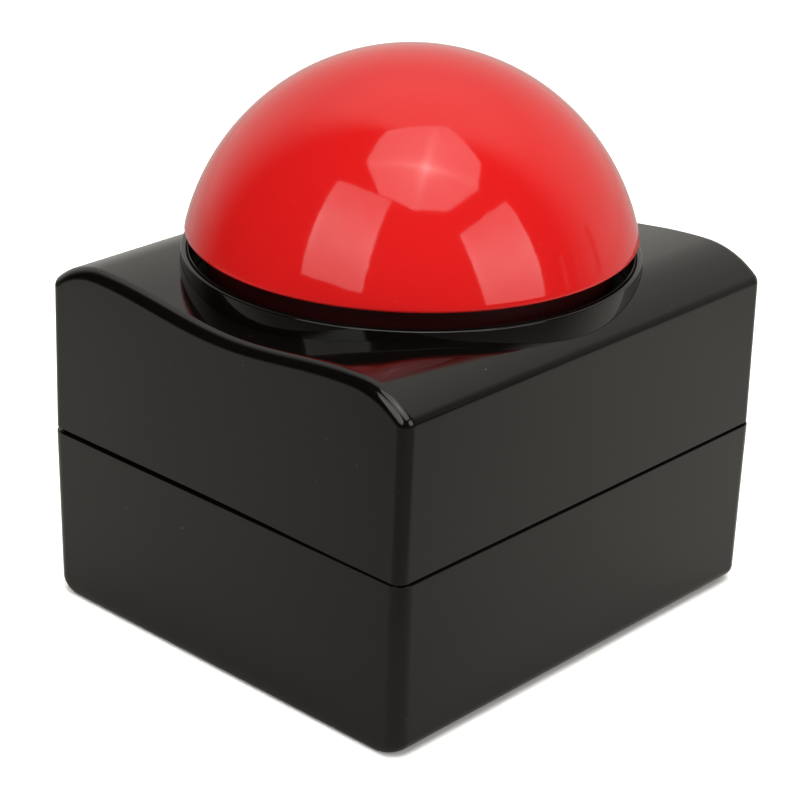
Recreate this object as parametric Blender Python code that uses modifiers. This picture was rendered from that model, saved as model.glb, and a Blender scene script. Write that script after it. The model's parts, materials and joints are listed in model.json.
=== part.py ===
"""Quiz buzzer: a black two-part box with a saddle-shaped top and a large red push dome.

Everything is in metres. X runs across the saddle, Y runs along it, and Z goes up from the table.
The origin is on the table under the middle of the box.
"""

import math

import bmesh
import bpy
from mathutils import Matrix, Vector

MM = 0.001

# Clearances and fineness
GAP = 0.3 * MM
MERGE = 0.01 * MM
OVERSHOOT = 1.0 * MM
ROUND = 36
HOLE_ROUND = 10
SMALL_ROUND = 12

# The box: two halves that meet at the parting line
HALF_X = 54.3 * MM
HALF_Y = 59.8 * MM
PARTING_Z = 41.0 * MM
FOOT_STANDOFF = 0.6 * MM
WALL = 2.0 * MM
FLOOR = 2.4 * MM
TOP_SIDE_INSET = 0.5 * MM
TOP_END_INSET = 0.2 * MM
TOP_END_DRAFT = 0.0128
BASE_DRAFT = 0.0097
CORNER_RADIUS = 3.6 * MM
BOTTOM_FILLET = 3.1 * MM
BASE_TOP_Z = PARTING_Z - GAP / 2
TOP_BOTTOM_Z = PARTING_Z + GAP / 2
BASE_FLOOR_Z = FOOT_STANDOFF + FLOOR

# The tongue inside the seam, which lines the halves up and keeps light out
TONGUE_OUTER = 2.6 * MM
TONGUE_INNER = 3.4 * MM
TONGUE_ROOT = 1.0 * MM
TONGUE_LOW_Z = 36.0 * MM
TONGUE_STEP_Z = 40.0 * MM
TONGUE_TOP_Z = 42.6 * MM

# The saddle: low along the middle, two crests, then a roll-over to each side wall
VALLEY_Z = 79.6 * MM
CREST_Z = 82.7 * MM
CREST_X = 39.0 * MM
ROLL_RADIUS = 21.6 * MM
ROLL_END = math.radians(40.2)
TOP_EDGE_RADIUS = 2.7 * MM

# The collar ring around the button
COLLAR_TOP_Z = 84.9 * MM
COLLAR_BOTTOM_Z = 66.5 * MM
COLLAR_OUTER = 51.2 * MM
COLLAR_BORE = 49.4 * MM
COLLAR_EAR_RADIUS = 5.5 * MM
COLLAR_EAR_THICK = 2.5 * MM
TOP_HOLE = COLLAR_OUTER + GAP

# The button: the dome and the carrier that it plugs into
TRAVEL = 3.0 * MM
DOME_TOP_Z = 129.15 * MM
DOME_RIM_Z = 88.3 * MM
DOME_CENTRE_Z = 76.6 * MM
DOME_RADIUS = 51.8 * MM
DOME_WALL = 2.2 * MM
DOME_RIM_ROUND = 0.8 * MM
DOME_LEDGE = 1.5 * MM
DOME_SHOULDER = 3.5 * MM
SKIRT_OUTER = 45.0 * MM
SKIRT_WALL = 2.0 * MM
DOME_SKIRT_WALL = 1.8 * MM
CUP_OUTER = SKIRT_OUTER - DOME_SKIRT_WALL - GAP
GUIDE_RADIUS = COLLAR_BORE - GAP
GUIDE_LOW_Z = 73.0 * MM
GUIDE_HIGH_Z = 75.0 * MM
SKIRT_BOTTOM_Z = 63.0 * MM
CARRIER_PLATE_Z = 70.5 * MM
CARRIER_PLATE = 2.0 * MM
WINDOW_RADIUS = 11.0 * MM
WINDOW_OFFSET = 19.0 * MM
LUG_REACH = 50.9 * MM
LUG_HALF_WIDTH = 6.0 * MM
LUG_HEIGHT = 3.2 * MM

# The mechanism deck inside the top shell
DECK_TOP_Z = 52.3 * MM
DECK_THICK = 2.0 * MM
DECK_RADIUS = 50.5 * MM
STOP_TOP_Z = SKIRT_BOTTOM_Z - TRAVEL - GAP
MECHANISM_X = 36.0 * MM
MECHANISM_Y = 40.0 * MM
PILLAR_RADIUS = 3.6 * MM
LEAD_HOLE_Y = -17.0 * MM
LEAD_HOLE_RADIUS = 3.0 * MM

# Return springs
SPRING_OFFSET = 34.0 * MM
SPRING_RADIUS = 4.6 * MM
SPRING_WIRE = 0.5 * MM
SPRING_TURNS = 4
SPRING_STEPS = 8
SPRING_PIN_RADIUS = 3.0 * MM
SPRING_PIN_HEIGHT = 4.0 * MM

# Microswitch and its lever
SWITCH_HALF = Vector((10.0, 3.2, 5.0)) * MM
LEVER_PIVOT = Vector((-8.5, 0.0, 63.6)) * MM
LEVER_LENGTH = 21.0 * MM
LEVER_WIDTH = 5.0 * MM
LEVER_THICK = 0.5 * MM
LEVER_ANGLE = math.radians(15.5)
ACTUATOR_X = 9.0 * MM
ACTUATOR_RADIUS = 2.0 * MM
ACTUATOR_TIP_Z = 69.4 * MM

# Lights
LIGHT_BOARD_OUTER = 27.5 * MM
LIGHT_BOARD_INNER = 12.5 * MM
LIGHT_BOARD_THICK = 1.2 * MM
LED_OFFSET = 14.5 * MM
LED_RADIUS = 2.5 * MM
LED_HEIGHT = 8.6 * MM

# Housing screws and their posts
POST_X = 46.2 * MM
POST_Y = 51.8 * MM
POST_RADIUS = 4.2 * MM
SCREW_WELL_RADIUS = 3.3 * MM
SCREW_WELL_TOP_Z = 30.0 * MM
SCREW_HEAD_RADIUS = 2.8 * MM
SCREW_HEAD_HEIGHT = 2.0 * MM
SCREW_SHANK_RADIUS = 1.3 * MM
PILOT_RADIUS = SCREW_SHANK_RADIUS + GAP
SMALL_HEAD_RADIUS = 2.2 * MM
SMALL_HEAD_HEIGHT = 1.4 * MM
SMALL_SHANK_RADIUS = 0.9 * MM
SMALL_PILOT_RADIUS = SMALL_SHANK_RADIUS + GAP

# Rubber feet
FOOT_X = 43.2 * MM
FOOT_Y = 41.0 * MM
FOOT_RADIUS = 5.0 * MM
FOOT_RECESS = 0.9 * MM

# Battery bay for three AA cells, and its door
BAY_Y = -29.0 * MM
BAY_HALF_X = 29.5 * MM
BAY_HALF_Y = 22.6 * MM
BAY_CEILING_Z = 17.8 * MM
BAY_WALL = 1.5 * MM
BAY_END_BLOCK = 8.0 * MM
CELL_RADIUS = 7.15 * MM
CELL_LENGTH = 49.5 * MM
CELL_NUB_RADIUS = 2.7 * MM
CELL_NUB_LENGTH = 1.0 * MM
CELL_PITCH = 14.9 * MM
CONTACT_HALF = 5.0 * MM
CELL_Z = BASE_FLOOR_Z + CELL_RADIUS + GAP / 3
CONTACT_THICK = 0.5 * MM
DOOR_HALF_X = 36.0 * MM
DOOR_HALF_Y = 22.2 * MM
DOOR_LOW_Z = 0.9 * MM
DOOR_HIGH_Z = 2.6 * MM
DOOR_SCREW_X = 32.0 * MM
DOOR_BOSS_RADIUS = 3.6 * MM
DOOR_BOSS_TOP_Z = 4.6 * MM
DOOR_SCREW_SEAT_Z = 2.6 * MM

# Speaker
SPEAKER_Y = 28.0 * MM
SPEAKER_RADIUS = 25.0 * MM
MAGNET_RADIUS = 12.5 * MM
MAGNET_HEIGHT = 7.0 * MM
MAGNET_BEVEL = 1.0 * MM
SPEAKER_DEPTH = 11.0 * MM
SPEAKER_SHEET = 1.2 * MM
VOICE_COIL_RADIUS = 6.5 * MM
GRILLE_HOLE_RADIUS = 1.7 * MM
GRILLE_PITCH = 8.0 * MM
GRILLE_RINGS = 2
SPEAKER_SCREW_X = 28.6 * MM

# Power switch on the underside
POWER_X = 41.0 * MM
POWER_Y = 10.0 * MM
POWER_TRAVEL = 4.0 * MM
POWER_BODY_MARGIN = Vector((3.5, 5.0, 0.0)) * MM
POWER_BODY_HEIGHT = 5.5 * MM
POWER_SLOT_HALF_X = 2.2 * MM
KNOB_HALF = 1.8 * MM

# Sound board on top of the battery bay
BOARD_Z = 22.7 * MM
BOARD_THICK = 1.6 * MM
BOARD_HALF_X = 31.0 * MM
BOARD_HALF_Y = 19.0 * MM
BOARD_SCREW_X = 27.0 * MM

LEAD_RADIUS = 0.75 * MM


# ---------------------------------------------------------------- scene and materials

def clear_scene():
    for obj in list(bpy.data.objects):
        bpy.data.objects.remove(obj, do_unlink=True)


def new_collection(name):
    collection = bpy.data.collections.new(name)
    bpy.context.scene.collection.children.link(collection)
    return collection


def new_material(name, colour, roughness, metallic=0.0):
    material = bpy.data.materials.new(name)
    material.use_nodes = True
    shader = material.node_tree.nodes["Principled BSDF"]
    shader.inputs["Base Color"].default_value = (*colour, 1.0)
    shader.inputs["Roughness"].default_value = roughness
    shader.inputs["Metallic"].default_value = metallic
    material.diffuse_color = (*colour, 1.0)
    return material


clear_scene()
PARTS = new_collection("quiz_buzzer")
TOOLS = new_collection("cutters")
TOOLS.hide_render = True

GLOSS_BLACK = new_material("gloss_black_plastic", (0.012, 0.011, 0.010), 0.08)
MATTE_BLACK = new_material("matte_black_plastic", (0.020, 0.020, 0.020), 0.45)
DOME_RED = new_material("gloss_red_plastic", (0.70, 0.012, 0.015), 0.08)
CLEAR_WHITE = new_material("natural_plastic", (0.62, 0.60, 0.55), 0.40)
RUBBER = new_material("black_rubber", (0.03, 0.03, 0.03), 0.80)
STEEL = new_material("zinc_plated_steel", (0.60, 0.60, 0.60), 0.30, 1.0)
BOARD_GREEN = new_material("circuit_board_green", (0.02, 0.16, 0.06), 0.40)
EPOXY = new_material("black_epoxy", (0.015, 0.015, 0.015), 0.25)
CELL_WRAP = new_material("cell_wrap", (0.05, 0.07, 0.12), 0.30, 0.2)
PAPER = new_material("cone_paper", (0.05, 0.05, 0.05), 0.90)
LED_LENS = new_material("led_lens", (0.80, 0.05, 0.05), 0.10)
WIRE_RED = new_material("lead_red", (0.60, 0.02, 0.02), 0.40)
WIRE_BLACK = new_material("lead_black", (0.02, 0.02, 0.02), 0.40)


# ---------------------------------------------------------------- modelling helpers

def link_mesh(name, bm, collection, material=None):
    mesh = bpy.data.meshes.new(name)
    bmesh.ops.recalc_face_normals(bm, faces=bm.faces)
    bm.to_mesh(mesh)
    bm.free()
    obj = bpy.data.objects.new(name, mesh)
    collection.objects.link(obj)
    if material is not None:
        mesh.materials.append(material)
    return obj


def shade_round(obj):
    obj.data.shade_smooth()
    obj.data.set_sharp_from_angle(angle=math.radians(35.0))


def piece(name, bm, material):
    obj = link_mesh(name, bm, PARTS, material)
    shade_round(obj)
    return obj


def tool(name, bm):
    obj = link_mesh(name, bm, TOOLS)
    obj.hide_render = True
    obj.display_type = "WIRE"
    return obj


def boolean(target, operation, other):
    modifier = target.modifiers.new(operation.lower(), "BOOLEAN")
    modifier.operation = operation
    modifier.solver = "EXACT"
    modifier.object = other


def add_cylinder(bm, radius, low, high, x=0.0, y=0.0, segments=HOLE_ROUND):
    matrix = Matrix.Translation((x, y, (low + high) / 2))
    bmesh.ops.create_cone(
        bm, cap_ends=True, segments=segments, radius1=radius, radius2=radius,
        depth=high - low, matrix=matrix)


def add_box(bm, low, high):
    low = Vector(low)
    high = Vector(high)
    matrix = Matrix.Translation((low + high) / 2) @ Matrix.Diagonal((*(high - low), 1.0))
    bmesh.ops.create_cube(bm, size=1.0, matrix=matrix)


def four_corners(x, y):
    return [(x, -y), (x, y), (-x, y), (-x, -y)]


def four_sides(offset):
    return [(offset, 0.0), (0.0, offset), (-offset, 0.0), (0.0, -offset)]


def box_piece(name, low, high, material, bevel=0.0):
    bm = bmesh.new()
    add_box(bm, low, high)
    if bevel > 0.0:
        bmesh.ops.bevel(bm, geom=bm.edges[:], offset=bevel, segments=2, affect="EDGES", profile=0.5)
    return piece(name, bm, material)


def turned(name, outline, material, closed=False, steps=ROUND):
    """A solid of revolution about its own Z axis from (radius, z) points.

    An open outline starts and ends on the axis. A closed one is a ring's section.
    """
    bm = bmesh.new()
    verts = [bm.verts.new((radius, 0.0, z)) for radius, z in outline]
    for first, second in zip(verts, verts[1:]):
        bm.edges.new((first, second))
    if closed:
        bm.edges.new((verts[-1], verts[0]))
    mesh = bpy.data.meshes.new(name)
    bm.to_mesh(mesh)
    bm.free()
    mesh.materials.append(material)
    obj = bpy.data.objects.new(name, mesh)
    PARTS.objects.link(obj)
    screw = obj.modifiers.new("turn", "SCREW")
    screw.axis = "Z"
    screw.steps = steps
    screw.render_steps = steps
    screw.use_merge_vertices = True
    screw.merge_threshold = MERGE
    screw.use_smooth_shade = True
    return obj


def arc(centre_r, centre_z, radius, start, end, count):
    """Points on an arc in the (radius, z) plane, angles in degrees from +R towards +Z."""
    points = []
    for index in range(count + 1):
        angle = math.radians(start + (end - start) * index / count)
        points.append((centre_r + radius * math.cos(angle), centre_z + radius * math.sin(angle)))
    return points


def tube(name, points, radius, material, resolution=2):
    """A round wire along points, with closed ends."""
    curve = bpy.data.curves.new(name, "CURVE")
    curve.dimensions = "3D"
    curve.bevel_depth = radius
    curve.bevel_resolution = resolution
    curve.use_fill_caps = True
    spline = curve.splines.new("POLY")
    spline.points.add(len(points) - 1)
    for point, position in zip(spline.points, points):
        point.co = (*position, 1.0)
    curve.materials.append(material)
    obj = bpy.data.objects.new(name, curve)
    PARTS.objects.link(obj)
    return obj


def set_origin(obj, point):
    """Moves the object's origin to point and leaves its shape where it is."""
    obj.data.transform(Matrix.Translation(-Vector(point)))
    obj.location = point


def screw_piece(name, x, y, seat_z, tip_z, small=False, head_up=False):
    """A pan-head screw whose head rests at seat_z and whose shank ends at tip_z."""
    head = SMALL_HEAD_RADIUS if small else SCREW_HEAD_RADIUS
    height = SMALL_HEAD_HEIGHT if small else SCREW_HEAD_HEIGHT
    shank = SMALL_SHANK_RADIUS if small else SCREW_SHANK_RADIUS
    way = -1.0 if head_up else 1.0
    length = abs(tip_z - seat_z)
    outline = [
        (0.0, -height),
        (head * 0.75, -height),
        (head, -height * 0.55),
        (head, 0.0),
        (shank, 0.0),
        (shank, length - shank),
        (0.0, length),
    ]
    outline = [(radius, z * way) for radius, z in outline]
    if not head_up:
        outline.reverse()
    obj = turned(name, outline, STEEL, steps=SMALL_ROUND)
    obj.location = (x, y, seat_z)
    return obj


# ---------------------------------------------------------------- housing

def saddle_outline(wall):
    """The (x, z) line of the saddle from the middle to the right wall, wall deep under the skin."""
    points = []
    wave_steps = 7
    for index in range(wave_steps):
        x = CREST_X * index / wave_steps
        rise = (1.0 - math.cos(math.pi * x / CREST_X)) / 2
        points.append((x, VALLEY_Z - wall + (CREST_Z - VALLEY_Z) * rise))
    roll_steps = 5
    roll = ROLL_RADIUS - wall
    centre_z = CREST_Z - ROLL_RADIUS
    for index in range(roll_steps + 1):
        angle = ROLL_END * index / roll_steps
        points.append((CREST_X + roll * math.sin(angle), centre_z + roll * math.cos(angle)))
    last_x, last_z = points[-1]
    wall_x = HALF_X - TOP_SIDE_INSET - wall
    fillet = (wall_x - last_x) / (1.0 - math.sin(ROLL_END))
    centre_x = last_x - fillet * math.sin(ROLL_END)
    centre_z = last_z - fillet * math.cos(ROLL_END)
    fillet_steps = 3
    for index in range(1, fillet_steps + 1):
        angle = ROLL_END + (math.pi / 2 - ROLL_END) * index / fillet_steps
        points.append((centre_x + fillet * math.sin(angle), centre_z + fillet * math.cos(angle)))
    return points


def saddle_block(wall, low_z):
    """The closed solid of the upper half, inset by wall on every side, down to low_z."""
    half = saddle_outline(wall)
    right = half + [(HALF_X - TOP_SIDE_INSET - wall, low_z)]
    outline = [(-x, z) for x, z in reversed(right[1:])] + right
    bm = bmesh.new()
    near = [bm.verts.new((x, -HALF_Y, z)) for x, z in outline]
    face = bm.faces.new(near)
    pulled = bmesh.ops.extrude_face_region(bm, geom=[face])
    moved = [item for item in pulled["geom"] if isinstance(item, bmesh.types.BMVert)]
    bmesh.ops.translate(bm, verts=moved, vec=(0.0, 2 * HALF_Y, 0.0))
    for vert in bm.verts:
        reach = HALF_Y - TOP_END_INSET - wall - TOP_END_DRAFT * (vert.co.z - PARTING_Z)
        vert.co.y = math.copysign(reach, vert.co.y)
    bmesh.ops.recalc_face_normals(bm, faces=bm.faces)
    rim = []
    for edge in bm.edges:
        first, second = edge.verts
        on_end = first.co.y * second.co.y > 0.0
        at_foot = first.co.z < low_z + MERGE and second.co.z < low_z + MERGE
        if on_end and not at_foot:
            rim.append(edge)
    radius = TOP_EDGE_RADIUS - wall
    if radius > 0.0:
        bmesh.ops.bevel(bm, geom=rim, offset=radius, segments=3, affect="EDGES", profile=0.5)
    return bm


def make_top_shell():
    shell = piece("top_shell", saddle_block(0.0, TOP_BOTTOM_Z), GLOSS_BLACK)
    cavity = tool("top_shell_cavity", saddle_block(WALL, TOP_BOTTOM_Z - OVERSHOOT))
    bm = bmesh.new()
    for x, y in four_corners(POST_X, POST_Y):
        add_cylinder(bm, POST_RADIUS, TOP_BOTTOM_Z - 2 * OVERSHOOT, DOME_RIM_Z, x, y)
    boss_low = COLLAR_BOTTOM_Z + COLLAR_EAR_THICK + GAP
    for x, y in four_corners(MECHANISM_X, MECHANISM_Y):
        add_cylinder(bm, PILLAR_RADIUS, boss_low, DOME_RIM_Z, x, y)
    boolean(cavity, "DIFFERENCE", tool("top_shell_posts", bm))
    boolean(shell, "DIFFERENCE", cavity)
    bm = bmesh.new()
    add_cylinder(bm, TOP_HOLE, COLLAR_BOTTOM_Z, DOME_TOP_Z, segments=ROUND)
    for x, y in four_corners(POST_X, POST_Y):
        add_cylinder(bm, PILOT_RADIUS, TOP_BOTTOM_Z - OVERSHOOT, TOP_BOTTOM_Z + 14 * MM, x, y)
    for x, y in four_corners(MECHANISM_X, MECHANISM_Y):
        add_cylinder(bm, PILOT_RADIUS, boss_low - OVERSHOOT, boss_low + 6.5 * MM, x, y)
    boolean(shell, "DIFFERENCE", tool("top_shell_holes", bm))


def base_block(inset, low_z, high_z, corner, fillet):
    """The closed, tapered box of the lower half, inset by inset on each side."""
    bm = bmesh.new()
    half_x = HALF_X - inset
    half_y = HALF_Y - inset
    add_box(bm, (-half_x, -half_y, low_z), (half_x, half_y, high_z))
    for vert in bm.verts:
        shrink = BASE_DRAFT * (PARTING_Z - vert.co.z)
        vert.co.x -= math.copysign(shrink, vert.co.x)
        vert.co.y -= math.copysign(shrink, vert.co.y)
    if corner > 0.0:
        upright = [edge for edge in bm.edges if abs(edge.verts[0].co.z - edge.verts[1].co.z) > MM]
        bmesh.ops.bevel(bm, geom=upright, offset=corner, segments=4, affect="EDGES", profile=0.5)
    if fillet > 0.0:
        low = [edge for edge in bm.edges if max(v.co.z for v in edge.verts) < low_z + MERGE]
        bmesh.ops.bevel(bm, geom=low, offset=fillet, segments=3, affect="EDGES", profile=0.5)
    return bm


def grille_points():
    """Hole centres on rings around the speaker's axis, the first at its middle."""
    points = [(0.0, SPEAKER_Y)]
    for ring in range(1, GRILLE_RINGS + 1):
        count = 6 * ring
        for index in range(count):
            angle = 2 * math.pi * index / count
            radius = GRILLE_PITCH * ring
            points.append((radius * math.cos(angle), SPEAKER_Y + radius * math.sin(angle)))
    return points


def make_tongue():
    """A stepped ring: its root is let into the base's wall, its tip stands up inside the top shell."""
    root = tool("tongue_root", base_block(TONGUE_ROOT, TONGUE_LOW_Z, TONGUE_STEP_Z, CORNER_RADIUS - TONGUE_ROOT, 0.0))
    corner = CORNER_RADIUS - TONGUE_OUTER
    tip = tool("tongue_tip", base_block(TONGUE_OUTER, TONGUE_LOW_Z + MM, TONGUE_TOP_Z, corner, 0.0))
    bm = base_block(TONGUE_INNER, TONGUE_LOW_Z - OVERSHOOT, TONGUE_TOP_Z + OVERSHOOT, 0.0, 0.0)
    boolean(root, "UNION", tip)
    boolean(root, "DIFFERENCE", tool("tongue_opening", bm))
    return root


def make_base_shell():
    shell = piece("base_shell", base_block(0.0, FOOT_STANDOFF, BASE_TOP_Z, CORNER_RADIUS, BOTTOM_FILLET),
                  GLOSS_BLACK)
    inner_corner = CORNER_RADIUS - WALL
    cavity = tool("base_cavity", base_block(WALL, BASE_FLOOR_Z, BASE_TOP_Z + OVERSHOOT, inner_corner, 0.0))
    bm = bmesh.new()
    block_x = BAY_HALF_X + BAY_END_BLOCK
    block_y = BAY_HALF_Y + BAY_WALL
    add_box(bm, (-block_x, BAY_Y - block_y, 0.0), (block_x, BAY_Y + block_y, BAY_CEILING_Z + BAY_WALL))
    for x, y in four_corners(POST_X, POST_Y):
        add_cylinder(bm, POST_RADIUS, 0.0, PARTING_Z + 2 * OVERSHOOT, x, y)
    for side in (-1.0, 1.0):
        add_cylinder(bm, 2.6 * MM, 0.0, BASE_FLOOR_Z + 5 * MM, side * SPEAKER_SCREW_X, SPEAKER_Y)
    boolean(cavity, "DIFFERENCE", tool("base_bosses", bm))
    boolean(shell, "DIFFERENCE", cavity)
    boolean(shell, "UNION", make_tongue())

    bm = bmesh.new()
    for side in (-1.0, 1.0):
        add_cylinder(bm, 2.5 * MM, BAY_CEILING_Z + 0.7 * MM, BOARD_Z - GAP, side * BOARD_SCREW_X, BAY_Y)
    boolean(shell, "UNION", tool("board_posts", bm))

    bm = bmesh.new()
    add_box(bm, (-BAY_HALF_X, BAY_Y - BAY_HALF_Y, -OVERSHOOT), (BAY_HALF_X, BAY_Y + BAY_HALF_Y, BAY_CEILING_Z))
    for x, y in four_corners(POST_X, POST_Y):
        add_cylinder(bm, SCREW_WELL_RADIUS, -OVERSHOOT, SCREW_WELL_TOP_Z, x, y)
    for x, y in four_corners(FOOT_X, FOOT_Y):
        add_cylinder(bm, FOOT_RADIUS + GAP, -OVERSHOOT, FOOT_STANDOFF + FOOT_RECESS, x, y, SMALL_ROUND)
    for x, y in grille_points():
        add_cylinder(bm, GRILLE_HOLE_RADIUS, -OVERSHOOT, BASE_FLOOR_Z + OVERSHOOT, x, y, 8)
    slot = KNOB_HALF + GAP
    add_box(bm, (POWER_X - POWER_SLOT_HALF_X, POWER_Y - slot, -OVERSHOOT),
            (POWER_X + POWER_SLOT_HALF_X, POWER_Y + slot + POWER_TRAVEL, BASE_FLOOR_Z + OVERSHOOT))
    for side in (-1.0, 1.0):
        add_cylinder(bm, SMALL_PILOT_RADIUS, BASE_FLOOR_Z + 0.5 * MM, BASE_FLOOR_Z + 6 * MM,
                     side * SPEAKER_SCREW_X, SPEAKER_Y)
        add_cylinder(bm, SMALL_PILOT_RADIUS, BAY_CEILING_Z + 1.0 * MM, BOARD_Z + OVERSHOOT,
                     side * BOARD_SCREW_X, BAY_Y)
    boolean(shell, "DIFFERENCE", tool("base_holes", bm))

    bm = bmesh.new()
    add_box(bm, (-DOOR_HALF_X - GAP, BAY_Y - DOOR_HALF_Y - GAP, -2 * OVERSHOOT),
            (DOOR_HALF_X + GAP, BAY_Y + DOOR_HALF_Y + GAP, DOOR_HIGH_Z + GAP))
    for x, y in four_corners(POST_X, POST_Y):
        add_cylinder(bm, PILOT_RADIUS, SCREW_WELL_TOP_Z - OVERSHOOT, BASE_TOP_Z + OVERSHOOT, x, y)
    boolean(shell, "DIFFERENCE", tool("base_steps", bm))

    bm = bmesh.new()
    for side in (-1.0, 1.0):
        add_cylinder(bm, DOOR_BOSS_RADIUS + GAP, DOOR_LOW_Z, DOOR_BOSS_TOP_Z + GAP, side * DOOR_SCREW_X, BAY_Y)
    boolean(shell, "DIFFERENCE", tool("door_boss_recesses", bm))

    bm = bmesh.new()
    for side in (-1.0, 1.0):
        add_cylinder(bm, SMALL_PILOT_RADIUS, DOOR_HIGH_Z, DOOR_BOSS_TOP_Z + 7 * MM, side * DOOR_SCREW_X, BAY_Y)
    boolean(shell, "DIFFERENCE", tool("door_screw_holes", bm))


def make_fasteners_and_feet():
    for index, (x, y) in enumerate(four_corners(POST_X, POST_Y), 1):
        screw_piece(f"housing_screw_{index}", x, y, SCREW_WELL_TOP_Z - GAP, TOP_BOTTOM_Z + 12 * MM)
    for index, (x, y) in enumerate(four_corners(FOOT_X, FOOT_Y), 1):
        outline = [
            (0.0, FOOT_STANDOFF + FOOT_RECESS - GAP),
            (FOOT_RADIUS, FOOT_STANDOFF + FOOT_RECESS - GAP),
            (FOOT_RADIUS, 0.4 * MM),
            (FOOT_RADIUS - 0.4 * MM, 0.0),
            (0.0, 0.0),
        ]
        foot = turned(f"rubber_foot_{index}", outline, RUBBER, steps=SMALL_ROUND)
        foot.location = (x, y, 0.0)


# ---------------------------------------------------------------- collar and button

def make_collar_ring():
    lip = (COLLAR_OUTER - COLLAR_BORE) / 2
    middle = COLLAR_BORE + lip
    outline = arc(middle, COLLAR_TOP_Z - lip, lip, 180.0, 0.0, 6)
    outline += [(COLLAR_OUTER, COLLAR_BOTTOM_Z), (COLLAR_BORE, COLLAR_BOTTOM_Z)]
    ring = turned("collar_ring", outline, GLOSS_BLACK, closed=True)
    bm = bmesh.new()
    for x, y in four_corners(MECHANISM_X, MECHANISM_Y):
        add_cylinder(bm, COLLAR_EAR_RADIUS, COLLAR_BOTTOM_Z, COLLAR_BOTTOM_Z + COLLAR_EAR_THICK, x, y)
    ears = tool("collar_ears", bm)
    bm = bmesh.new()
    add_cylinder(bm, COLLAR_BORE, COLLAR_BOTTOM_Z - OVERSHOOT, COLLAR_TOP_Z, segments=ROUND)
    for x, y in four_corners(MECHANISM_X, MECHANISM_Y):
        add_cylinder(bm, PILOT_RADIUS, COLLAR_BOTTOM_Z - OVERSHOOT, COLLAR_TOP_Z, x, y)
    boolean(ears, "DIFFERENCE", tool("collar_ear_holes", bm))
    boolean(ring, "UNION", ears)


def dome_curve(low_z, wall, count):
    """The dome's (radius, z) line from the apex down to low_z."""
    top = DOME_TOP_Z - wall
    start = math.asin((low_z - DOME_CENTRE_Z) / (top - DOME_CENTRE_Z))
    points = []
    for index in range(count + 1):
        angle = math.pi / 2 + (start - math.pi / 2) * index / count
        radius = (DOME_RADIUS - wall) * math.cos(angle)
        points.append((max(0.0, radius), DOME_CENTRE_Z + (top - DOME_CENTRE_Z) * math.sin(angle)))
    return points


def make_dome():
    rim_z = DOME_RIM_Z + DOME_RIM_ROUND
    outside = dome_curve(rim_z, 0.0, 10)
    rim_radius = outside[-1][0]
    edge = arc(rim_radius - DOME_RIM_ROUND, rim_z, DOME_RIM_ROUND, 0.0, -90.0, 3)[1:]
    skirt_low = GUIDE_HIGH_Z + GAP
    skirt_inner = SKIRT_OUTER - DOME_SKIRT_WALL
    skirt = [
        (SKIRT_OUTER, DOME_RIM_Z),
        (SKIRT_OUTER, skirt_low),
        (skirt_inner, skirt_low),
        (skirt_inner, DOME_RIM_Z + DOME_LEDGE),
    ]
    inside = dome_curve(DOME_RIM_Z + DOME_SHOULDER, DOME_WALL, 7)
    inside.reverse()
    turned("dome", outside + edge + skirt + inside, DOME_RED)


def make_carrier():
    """The black cup inside the dome's skirt: its rib slides in the collar, its plate rests on the springs."""
    inner = SKIRT_OUTER - SKIRT_WALL
    cup_inner = CUP_OUTER - SKIRT_WALL
    top_z = DOME_RIM_Z - GAP
    plate_top = CARRIER_PLATE_Z + CARRIER_PLATE
    outline = [
        (0.0, plate_top),
        (cup_inner, plate_top),
        (cup_inner, top_z),
        (CUP_OUTER, top_z),
        (CUP_OUTER, GUIDE_HIGH_Z),
        (GUIDE_RADIUS, GUIDE_HIGH_Z),
        (GUIDE_RADIUS, GUIDE_LOW_Z),
        (SKIRT_OUTER, GUIDE_LOW_Z),
        (SKIRT_OUTER, SKIRT_BOTTOM_Z),
        (inner, SKIRT_BOTTOM_Z),
        (inner, CARRIER_PLATE_Z),
        (0.0, CARRIER_PLATE_Z),
    ]
    carrier = turned("button_carrier", outline, GLOSS_BLACK)
    bm = bmesh.new()
    for x, y in four_corners(WINDOW_OFFSET, WINDOW_OFFSET):
        add_cylinder(bm, WINDOW_RADIUS, CARRIER_PLATE_Z - OVERSHOOT, plate_top + OVERSHOOT, x, y, 16)
    boolean(carrier, "DIFFERENCE", tool("carrier_windows", bm))

    bm = bmesh.new()
    lug_top = COLLAR_BOTTOM_Z - GAP
    lug_inner = inner + SKIRT_WALL / 2
    for x, y in four_sides(1.0):
        low = Vector((min(x * lug_inner, x * LUG_REACH), min(y * lug_inner, y * LUG_REACH), lug_top - LUG_HEIGHT))
        high = Vector((max(x * lug_inner, x * LUG_REACH), max(y * lug_inner, y * LUG_REACH), lug_top))
        side = Vector((abs(y), abs(x), 0.0)) * LUG_HALF_WIDTH
        add_box(bm, low - side, high + side)
    for x, y in four_sides(SPRING_OFFSET):
        add_cylinder(bm, SPRING_PIN_RADIUS, CARRIER_PLATE_Z - SPRING_PIN_HEIGHT, CARRIER_PLATE_Z + OVERSHOOT, x, y)
    add_cylinder(bm, ACTUATOR_RADIUS, ACTUATOR_TIP_Z, CARRIER_PLATE_Z + OVERSHOOT, ACTUATOR_X)
    boolean(carrier, "UNION", tool("carrier_lugs", bm))


def coil(turns, steps, start, end, start_radius, end_radius, axis):
    """Points of a coil along X or Z, from start to end along that axis."""
    points = []
    count = turns * steps
    for index in range(count + 1):
        share = index / count
        angle = 2 * math.pi * turns * share
        radius = start_radius + (end_radius - start_radius) * share
        along = start + (end - start) * share
        across = radius * math.cos(angle)
        over = radius * math.sin(angle)
        points.append((across, over, along) if axis == "Z" else (along, across, over))
    return points


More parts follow.
